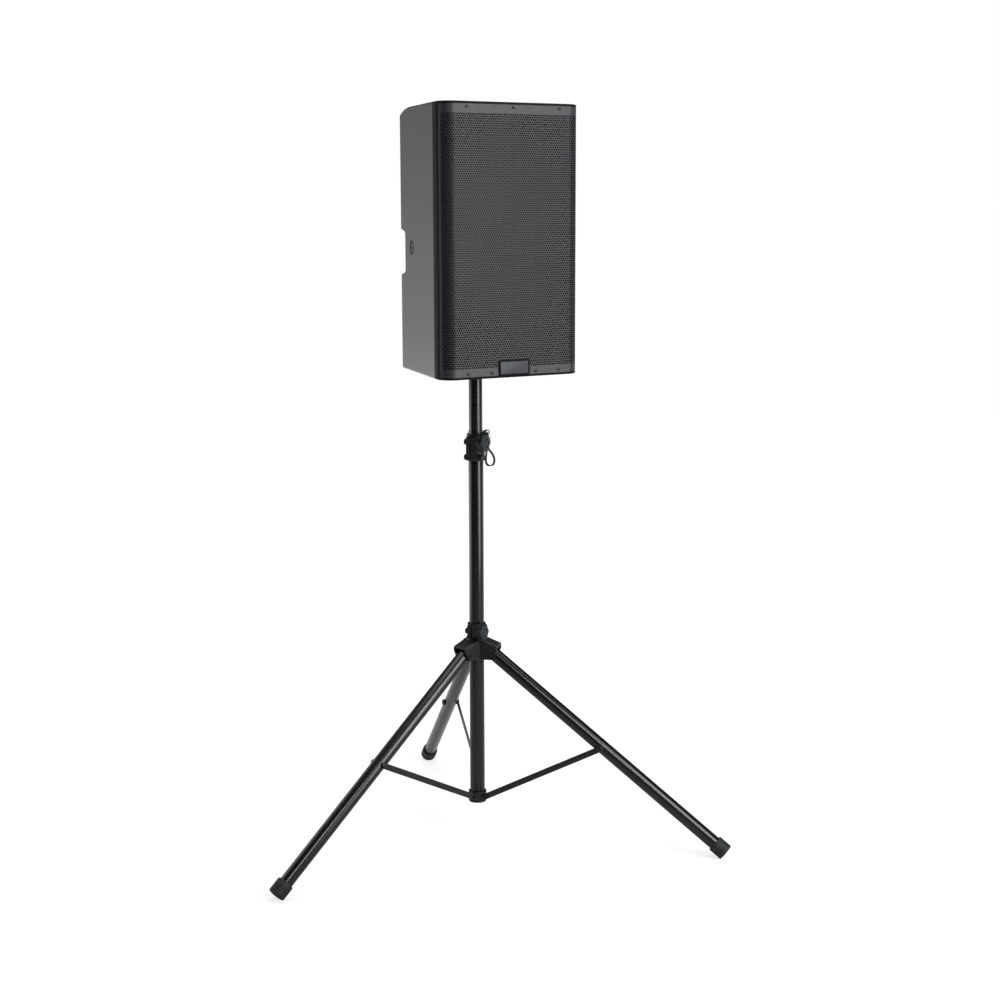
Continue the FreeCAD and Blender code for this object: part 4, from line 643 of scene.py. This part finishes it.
def make_legs(materials):
    for leg in STRUT_SIDES:
        body = leg + "_leg"
        tube = lathe("leg_tube_skin_" + leg, dome_profile(LEG_R, LEG_LENGTH - 5), leg_frame(leg), 96)
        settle(tube, body, "tube_paint", materials["tube_paint"], "leg_tube_" + leg)
        foot = lathe("foot_cap_" + leg, foot_profile(), leg_frame(leg), 96)
        for vertex in foot.data.vertices:
            vertex.co.z = max(vertex.co.z, 0.0)
        settle(foot, body, "rubber", materials["rubber"], "foot_" + leg)


def bolt_head(name, radius, height, matrix):
    """Domed head standing on height 0."""
    crown = round_corner(radius, height * 0.45, radius * 0.35, height, 6)
    return lathe(name, [(0, 0), (radius * 0.98, 0), (radius, 0.25)] + crown + [(0, height)], matrix, 48)


def make_struts(materials):
    """Flat bars with round ends, each with the head of its bolt."""
    for leg, side in STRUT_SIDES.items():
        pivot = JOINTS[leg + "_strut_fold"]["pos_m"]
        turn = leg_matrix(leg)
        low = Vector((math.hypot(pivot[0], pivot[1]) / MM, side * STRUT_PLANE, pivot[2] / MM))
        top = turn.inverted() @ along_leg(leg, STRUT_AT, side * STRUT_PLANE)
        run = top - low
        place = turn @ axis_matrix(low, (0, side, 0), across=run)
        length = run.length
        outline = []
        for start, end_x in ((math.pi / 2, 0.0), (-math.pi / 2, length)):
            for k in range(13):
                a = start + math.pi * k / 12
                outline.append((end_x + STRUT_HALF * math.cos(a), STRUT_HALF * math.sin(a)))
        bar = extruded("bar", outline, 0.0, STRUT_THICK, place, edge=0.6)
        head = bolt_head("head", 6.0, 3.0, place @ Matrix.Translation((length, 0, STRUT_THICK - 0.05)))
        strut = joined("strut_bar_" + leg, [bar, head])
        smooth(strut)
        settle(strut, leg + "_strut", "strut_paint", materials["strut_paint"], "strut_" + leg)


def make_column(materials):
    """Outer tube, and the mast with its row of pin holes drilled through."""
    low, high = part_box("outer_tube")
    tube = lathe("outer_pole", tube_profile(OUTER_R, OUTER_R - 1.5, low.z / MM, high.z / MM), None, 128)
    settle(tube, "column", "tube_paint", materials["tube_paint"], "outer_tube")
    low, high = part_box("inner_mast")
    mast = lathe("inner_pole", tube_profile(MAST_R, MAST_R - 1.5, low.z / MM, high.z / MM), None, 128)
    tools = []
    for k in range(PIN_HOLES):
        z = PIN_Z + PIN_PITCH * (k - PIN_HOLES_BELOW)
        across = axis_matrix((-25, 0, z), (1, 0, 0))
        tools.append(lathe("drill", [(0, 0), (PIN_HOLE_R, 0), (PIN_HOLE_R, 50), (0, 50)], across, 32))
    cut(mast, [joined("drills", tools)])
    smooth(mast)
    settle(mast, "mast", "mast_paint", materials["mast_paint"], "inner_mast")


def make_castings(materials):
    """Moulded parts: the leg hub, the collar and the ring, with the small radii of a mould."""
    for name, node, body, voxel in (("leg_hub", "hub", "hub_carriage", 0.75),
                                    ("top_collar", "upper_collar", "column", 0.55),
                                    ("lower_ring", "bottom_ring", "column", 0.5)):
        piece = lean(softened(name, node, voxel, 5), 0.5)
        smooth(piece, 60.0)
        settle(piece, body, "casting", materials["casting"], node)


def make_knob(name, node, body, ear, height, size, thick, materials):
    """Lobed clamp knob with a raised rim in its face, and its bolt."""
    turn = Matrix.Rotation(CLAMP_TURN, 4, "Z")
    place = turn @ axis_matrix((ear + 0.3, -CLAMP_BOLT_OFFSET, height), (1, 0, 0), across=(0, 0, 1))

    def lobed(base, angle):
        """Full at the lobes, drawn in between them."""
        if base < KNOB_CORE_R:
            return base
        wave = (1 + math.cos(KNOB_LOBES * angle)) / 2
        return base - KNOB_DIP * wave * (base / size) ** 2

    face = KNOB_NECK
    top = face + thick
    profile = [(0, 0.2), (8.3, 0.2), (8.7, 0.6), (9.4, 2.0), (11.2, 4.4), (12.6, face)]
    profile += [(16.5, face), (size - 2.2, face + 0.2)]
    profile += round_corner(size - 0.2, face + 2.4, size - 2.4, face + 0.2, 5)[::-1]
    profile += [(size, face + 4.0), (size, top - 5.0)]
    profile += round_corner(size - 0.15, top - 3.8, size - 4.0, top - 0.4, 7)
    profile += [(13.5, top), (11.3, top), (10.7, top - 0.3), (10.3, top - 1.4),
                (9.9, top - 1.7), (9.4, top - 1.5), (8.9, top - 0.7), (8.2, top - 0.3)]
    profile += [(5.0, top), (0, top)]
    knob = lathe(name, profile, place, 192, lobed, sharp=42.0)
    bolt = [(0, -32.0), (2.4, -32.0), (3.0, -31.4), (3.0, 1.0), (0, 1.0)]
    shank = lathe(name + "_bolt", bolt, place, 48)
    settle(shank, body, "bolt_black", materials["bolt_black"])
    settle(knob, body, "knob_plastic", materials["knob_plastic"], node)


# ---- grille: round holes in a hexagonal lattice, wrapped round both front corners ----

def wrapped(across, height, depth):
    """Point of the grille in the loudspeaker's frame, from its distance across the flattened sheet."""
    radius = FRONT_CORNER_R - GRILLE_INSET
    beyond = abs(across) - FLAT_HALF
    if beyond <= 0:
        return (across, FRONT_Y + GRILLE_INSET + depth, height)
    angle = beyond / radius
    x = FLAT_HALF + (radius - depth) * math.sin(angle)
    y = FRONT_Y + FRONT_CORNER_R - (radius - depth) * math.cos(angle)
    return (math.copysign(x, across), y, height)


def thick_sheet(name, points, faces, matrix):
    """Closed sheet of the grille's thickness from a flat mesh of (across, height) points."""
    edges = {}  # directed; one whose opposite is missing lies on a rim
    for face in faces:
        for k, vertex in enumerate(face):
            edges[(vertex, face[(k + 1) % len(face)])] = True
    count = len(points)
    vertices = [wrapped(a, h, 0.0) for a, h in points] + [wrapped(a, h, GRILLE_THICK) for a, h in points]
    solid = [tuple(face) for face in faces]
    solid += [tuple(v + count for v in reversed(face)) for face in faces]
    solid += [(b, a, a + count, b + count) for a, b in edges if (b, a) not in edges]
    return mesh_object(name, vertices, solid, matrix, sharp=40.0)


def lattice_rows():
    """Hole centres, row by row from the bottom, staggered by half a pitch."""
    step = HOLE_PITCH * math.sqrt(3) / 2
    count = int((HOLES_HIGH - HOLES_LOW) / step)
    first = (HOLES_LOW + HOLES_HIGH - (count - 1) * step) / 2
    reach = FLAT_HALF + (FRONT_CORNER_R - GRILLE_INSET) * GRILLE_WRAP - 3.0
    half = int(reach / HOLE_PITCH - 0.5)
    rows = []
    for j in range(count):
        if j % 2:
            xs = [HOLE_PITCH * (i + 0.5) for i in range(-half - 1, half + 1)]
        else:
            xs = [HOLE_PITCH * i for i in range(-half, half + 1)]
        rows.append((first + step * j, xs))
    return rows


def cell_faces(points, index, faces, x, z):
    """One hexagonal cell of sheet round one round hole, as twelve quads."""
    corner = HOLE_PITCH / math.sqrt(3)
    outer, inner = [], []
    for k in range(12):
        a = math.pi / 6 * k
        r = corner if k % 2 else HOLE_PITCH / 2
        key = (round(x + r * math.cos(a), 3), round(z + r * math.sin(a), 3))
        if key not in index:
            index[key] = len(points)
            points.append(key)
        outer.append(index[key])
        inner.append(len(points))
        points.append((x + HOLE_R * math.cos(a), z + HOLE_R * math.sin(a)))
    for k in range(12):
        n = (k + 1) % 12
        faces.append((outer[k], outer[n], inner[n], inner[k]))


def add_point(points, index, across, height):
    """Number of the point at this place, new or already there."""
    key = (round(across, 3), round(height, 3))
    if key not in index:
        index[key] = len(points)
        points.append(key)
    return index[key]


def row_edge(row):
    """How far a row of cells reaches from the middle."""
    return row[1][-1] + HOLE_PITCH / 2


def side_chain(rows, sign, below):
    """Zigzag edge of the lattice on one side, from the bottom up; below is the row edge under it, or None."""
    corner = HOLE_PITCH / math.sqrt(3)
    chain = [] if below is None else [(sign * below, rows[0][0] - corner)]
    for row in rows:
        z, edge = row[0], row_edge(row)
        if below is not None:
            chain.append((sign * (edge + below) / 2, z - corner * 0.75))
        chain += [(sign * edge, z - corner / 2), (sign * edge, z), (sign * edge, z + corner / 2)]
        below = edge
    return chain


def end_chain(row, up, reach):
    """Zigzag edge of the lattice along its first or last row, from left to right."""
    z, xs = row
    corner = up * HOLE_PITCH / math.sqrt(3)
    quarter = HOLE_PITCH / 4
    chain = [(-reach, z + corner / 2)]
    for x in xs:
        chain += [(x - 2 * quarter, z + corner / 2), (x - quarter, z + corner * 0.75),
                  (x, z + corner), (x + quarter, z + corner * 0.75)]
    return chain + [(row_edge(row), z + corner / 2), (reach, z + corner / 2)]


def lattice_sheet(name, rows, below, is_last, matrix):
    """One band of the grille: its cells and the plain margins beside, under or over them."""
    points, index, faces = [], {}, []
    for z, xs in rows:
        for x in xs:
            cell_faces(points, index, faces, x, z)
    reach = FLAT_HALF + (FRONT_CORNER_R - GRILLE_INSET) * GRILLE_WRAP
    for sign in (1, -1):
        chain = side_chain(rows, sign, below)
        for (x0, z0), (x1, z1) in zip(chain, chain[1:]):
            a, b = add_point(points, index, x0, z0), add_point(points, index, x1, z1)
            c, d = add_point(points, index, sign * reach, z1), add_point(points, index, sign * reach, z0)
            faces.append((a, d, c, b) if sign > 0 else (d, a, b, c))
    margins = []
    if below is None:
        margins.append((rows[0], -1, GRILLE_LOW))
    if is_last:
        margins.append((rows[-1], 1, GRILLE_HIGH))
    for row, up, limit in margins:
        chain = end_chain(row, up, reach)
        for (x0, z0), (x1, z1) in zip(chain, chain[1:]):
            a, b = add_point(points, index, x0, z0), add_point(points, index, x1, z1)
            c, d = add_point(points, index, x1, limit), add_point(points, index, x0, limit)
            faces.append((a, b, c, d) if up > 0 else (d, c, b, a))
    return thick_sheet(name, points, faces, matrix)


def make_grille(materials, matrix):
    rows = lattice_rows()
    share = math.ceil(len(rows) / GRILLE_SHEETS)
    for k in range(GRILLE_SHEETS):
        first = k * share
        below = row_edge(rows[first - 1]) if first else None
        is_last = k == GRILLE_SHEETS - 1
        sheet = lattice_sheet("grille_sheet_%d" % (k + 1), rows[first:first + share], below, is_last, matrix)
        settle(sheet, "speaker", "grille_paint", materials["grille_paint"], "grille")


# ---- loudspeaker trim ----

def rounded_outline(x0, x1, z0, z1, radius, steps=6):
    """Rounded rectangle in the plane of the front, as seen from the front."""
    points = []
    for cx, cz, start in ((x1 - radius, z0 + radius, -90), (x1 - radius, z1 - radius, 0),
                          (x0 + radius, z1 - radius, 90), (x0 + radius, z0 + radius, 180)):
        for k in range(steps + 1):
            a = math.radians(start + 90 * k / steps)
            points.append((cx + radius * math.cos(a), cz + radius * math.sin(a)))
    return points


def front_plane(matrix, y, facing=-1):
    """Frame on a face of the cabinet: X across, Y up and Z out of the face."""
    if facing < 0:
        axes = Matrix(((1, 0, 0), (0, 0, -1), (0, 1, 0)))
    else:
        axes = Matrix(((1, 0, 0), (0, 0, 1), (0, 1, 0)))
    return matrix @ Matrix.Translation((0, y, 0)) @ axes.to_4x4()


def make_badge(materials, matrix):
    """Blank plate in a dark raised frame."""
    face = front_plane(matrix, FRONT_Y)

    def outline(beside, over, radius):
        half = BADGE_HALF - beside
        return rounded_outline(-half, half, BADGE_LOW + over, BADGE_HIGH - over, radius)

    rim = extruded("badge_frame", outline(0, 0, 4.0), -0.4, 3.1, face, 0.5)
    hollow = extruded("hollow", outline(3.3, 3.2, 2.4), 1.9, 5.0, face)
    cut(rim, [hollow])
    smooth(rim)
    plate = extruded("badge_plate", outline(3.5, 3.4, 2.3), 1.6, 2.35, face, 0.2)
    settle(rim, "speaker", "front_plastic", materials["front_plastic"], "badge")
    settle(plate, "speaker", "badge_plate", materials["badge_plate"], "badge")


def make_foam(materials, matrix):
    """Acoustic foam behind the holes, following the flat of the grille."""
    columns, rows = 60, 110
    points, faces = [], []
    for j in range(rows + 1):
        for i in range(columns + 1):
            x = FOAM_HALF * (2 * i / columns - 1)
            z = FOAM_LOW + (FOAM_HIGH - FOAM_LOW) * j / rows
            dip = 0.35 * math.sin(x * 0.21) * math.cos(z * 0.17)
            points.append((x, FOAM_FRONT_Y + dip, z))
    count = len(points)
    points += [(x, FOAM_REAR_Y, z) for x, _, z in points]
    width = columns + 1
    for j in range(rows):
        for i in range(columns):
            a = j * width + i
            faces.append((a, a + 1, a + 1 + width, a + width))
            faces.append((a + count + width, a + count + width + 1, a + count + 1, a + count))
    rim = list(range(width)) + [j * width + columns for j in range(1, rows + 1)]
    rim += [rows * width + i for i in range(columns - 1, -1, -1)]
    rim += [j * width for j in range(rows - 1, 0, -1)]
    faces += [(b, a, a + count, b + count) for a, b in zip(rim, rim[1:] + rim[:1])]
    foam = outward(mesh_object("acoustic_foam", points, faces, matrix, 60.0))
    settle(foam, "speaker", "foam", materials["foam"], "grille_foam")


def control_centre(body, matrix):
    """Where a panel control's joint lies in the loudspeaker's own frame, in millimetres."""
    joint = [j for j in frame["joints"] if j["child"] == body][0]
    return matrix.inverted() @ (Vector(joint["pos_m"]) / MM)


def make_control_knobs(materials, matrix):
    """Knurled caps with a white pointer inlaid in the face."""
    for node, body, radius in CONTROL_KNOBS:
        centre = control_centre(body, matrix)
        place = front_plane(matrix, PANEL_FACE, 1) @ Matrix.Translation((centre.x, centre.z, 0))

        def knurled(base, angle, radius=radius):
            if base < radius * 0.93:
                return base
            return base - 0.45 * (0.5 + 0.5 * math.cos(24 * angle)) ** 2

        profile = [(0, 0.5), (radius - 0.6, 0.5), (radius, 1.0), (radius, 2.0), (radius * 0.97, 2.3)]
        profile += round_corner(radius * 0.95, 7.8, radius * 0.86, 9.0, 4)
        profile += [(radius * 0.78, 9.0), (radius * 0.70, 8.6), (0, 8.6)]
        cap = lathe("cap_" + node, profile, place, 192, knurled)
        stem = lathe("stem_" + node, rounded_rod_profile(3.0, -13.0, 0.9, 0.3), place, 32)
        low, high = (-0.55, radius * 0.35, 8.5), (0.55, radius * 0.92, 9.12)
        mark = block("pointer_" + node, low, high, place, 0.15, 2)
        settle(cap, body, "control_plastic", materials["control_plastic"], node)
        settle(stem, body, "control_plastic", materials["contact_metal"])
        settle(mark, body, "control_plastic", materials["mark_white"])


def make_panel_marks(materials, matrix):
    """Dots round the gain knobs, and the latch tabs of the inputs."""
    face = front_plane(matrix, PANEL_FACE, 1)
    dots = []
    for body in ("gain_left", "gain_right"):
        centre = control_centre(body, matrix)
        for k in range(11):
            a = math.radians(-240 + 30 * k)
            across, up = GAIN_DOT_CIRCLE * math.cos(a), GAIN_DOT_CIRCLE * math.sin(a)
            spot = Matrix.Translation((centre.x + across, centre.z + up, 0))
            dots.append(lathe("dot", [(0, -0.05), (0.55, -0.05), (0.5, 0.12), (0, 0.15)], face @ spot, 16))
    marks = joined("gain_dots", dots)
    smooth(marks)
    settle(marks, "speaker", "panel_paint", materials["mark_white"])
    tabs = []
    for x in (-LATCH_TAB_X, LATCH_TAB_X):
        tabs.append(block("tab", (x - 4.0, 1366.8, 1.0), (x + 4.0, 1372.0, 3.4), face, 0.8))
    latches = joined("latch_tabs", tabs)
    smooth(latches)
    settle(latches, "speaker", "jack_plastic", materials["contact_metal"])


# ---- setting ----

def area_light(name, at, target, size, power):
    """Softbox aimed at target, not seen by the camera itself."""
    data = bpy.data.lights.new(name, "AREA")
    data.shape = "RECTANGLE"
    data.size, data.size_y = size
    data.energy = power
    light = bpy.data.objects.new(name, data)
    bpy.context.scene.collection.objects.link(light)
    light.visible_camera = False
    aim = (Vector(target) - Vector(at)).to_track_quat("-Z", "Y")
    light.matrix_world = Matrix.Translation(at) @ aim.to_matrix().to_4x4()
    return light


def make_lights():
    area_light("right_softbox", (2.1, -1.55, 1.5), (0, 0, 1.2), (1.3, 2.4), 50)
    area_light("left_softbox", (-2.6, 0.4, 1.2), (0, 0, 0.9), (2.4, 2.8), 26)
    area_light("low_back_left_softbox", (-1.9, 2.3, 0.25), (0, 0, 1.2), (1.6, 1.0), 7)
    area_light("top_softbox", (0.3, 0.2, 3.6), (0, 0, 0), (3.0, 3.0), 70)
    area_light("high_front_softbox", (2.18, -6.45, 4.72), (0.3, -0.1, 0.25), (1.4, 2.0), 92)
    area_light("right_strip_light", (1.75, -1.95, 1.6), (-0.2, -0.2, 0.3), (0.3, 0.9), 8)


def product(tree, first, second):
    node = tree.nodes.new("ShaderNodeMath")
    node.operation = "MULTIPLY"
    link(tree, first, node.inputs[0])
    link(tree, second, node.inputs[1])
    return node.outputs[0]


def camera_switch(tree, lit, seen):
    """Shader that looks like seen in the picture itself and like lit in reflections and as light."""
    path = tree.nodes.new("ShaderNodeLightPath")
    mix = tree.nodes.new("ShaderNodeMixShader")
    link(tree, path.outputs["Is Camera Ray"], mix.inputs["Fac"])
    link(tree, lit, mix.inputs[1])
    link(tree, seen, mix.inputs[2])
    return mix.outputs[0]


def make_world():
    """White studio: bright behind the object and to its left, dim in front of it and above."""
    world = bpy.data.worlds.new("studio")
    bpy.context.scene.world = world
    world.use_nodes = True
    tree = world.node_tree
    tree.nodes.clear()
    coords = tree.nodes.new("ShaderNodeTexCoord").outputs["Generated"]
    parts = tree.nodes.new("ShaderNodeSeparateXYZ")
    link(tree, coords, parts.inputs[0])
    depth = remap(tree, parts.outputs["Y"], 0.03, 1.0, -0.2, 0.85)
    across = remap(tree, parts.outputs["X"], 1.0, 0.12, -0.5, 0.3)
    height = remap(tree, parts.outputs["Z"], 0.80, 0.16, -0.12, 0.25)
    lit = tree.nodes.new("ShaderNodeBackground")
    link(tree, product(tree, product(tree, depth, across), height), lit.inputs["Strength"])
    lit.inputs["Color"].default_value = (1, 1, 1, 1)
    seen = tree.nodes.new("ShaderNodeBackground")
    seen.inputs["Color"].default_value = (1, 1, 1, 1)
    out = tree.nodes.new("ShaderNodeOutputWorld")
    link(tree, camera_switch(tree, lit.outputs[0], seen.outputs[0]), out.inputs["Surface"])


def emission(tree, strength):
    node = tree.nodes.new("ShaderNodeEmission")
    link(tree, strength, node.inputs["Strength"])
    return node.outputs[0]


def make_floor():
    """Pale back-lit floor: white in the picture, with the soft shadows of the object on it."""
    mesh = bpy.data.meshes.new("floor")
    half = 60.0
    corners = [(-half, -half, 0), (half, -half, 0), (half, half, 0), (-half, half, 0)]
    mesh.from_pydata(corners, [], [(0, 1, 2, 3)])
    floor = bpy.data.objects.new("floor", mesh)
    bpy.context.scene.collection.objects.link(floor)
    material = bpy.data.materials.new("floor_paper")
    material.use_nodes = True
    tree = material.node_tree
    tree.nodes.clear()
    coords = tree.nodes.new("ShaderNodeTexCoord").outputs["Object"]
    parts = tree.nodes.new("ShaderNodeSeparateXYZ")
    link(tree, coords, parts.inputs[0])
    glow = remap(tree, parts.outputs["Y"], 0.04, 0.9, -0.6, 3.0)
    radius = tree.nodes.new("ShaderNodeVectorMath")
    radius.operation = "LENGTH"
    link(tree, coords, radius.inputs[0])
    backlight = remap(tree, radius.outputs["Value"], 0.73, 1.0, 0.6, 2.0)
    paper = tree.nodes.new("ShaderNodeBsdfDiffuse")
    paper.inputs["Color"].default_value = (0.42, 0.42, 0.42, 1)
    both = []
    for strength in (glow, backlight):
        add = tree.nodes.new("ShaderNodeAddShader")
        link(tree, paper.outputs[0], add.inputs[0])
        link(tree, emission(tree, strength), add.inputs[1])
        both.append(add.outputs[0])
    out = tree.nodes.new("ShaderNodeOutputMaterial")
    link(tree, camera_switch(tree, both[0], both[1]), out.inputs["Surface"])
    mesh.materials.append(material)


bpy.context.scene.view_settings.view_transform = "Standard"
make_camera()
materials = make_materials()
dress_frame(materials)
make_lanyard(materials)
cabinet = speaker_matrix()
make_legs(materials)
make_struts(materials)
make_column(materials)
make_castings(materials)
for knob in CLAMP_KNOBS:
    make_knob(*knob, materials)
make_grille(materials, cabinet)
make_badge(materials, cabinet)
make_foam(materials, cabinet)
make_control_knobs(materials, cabinet)
make_panel_marks(materials, cabinet)
make_world()
make_lights()
make_floor()
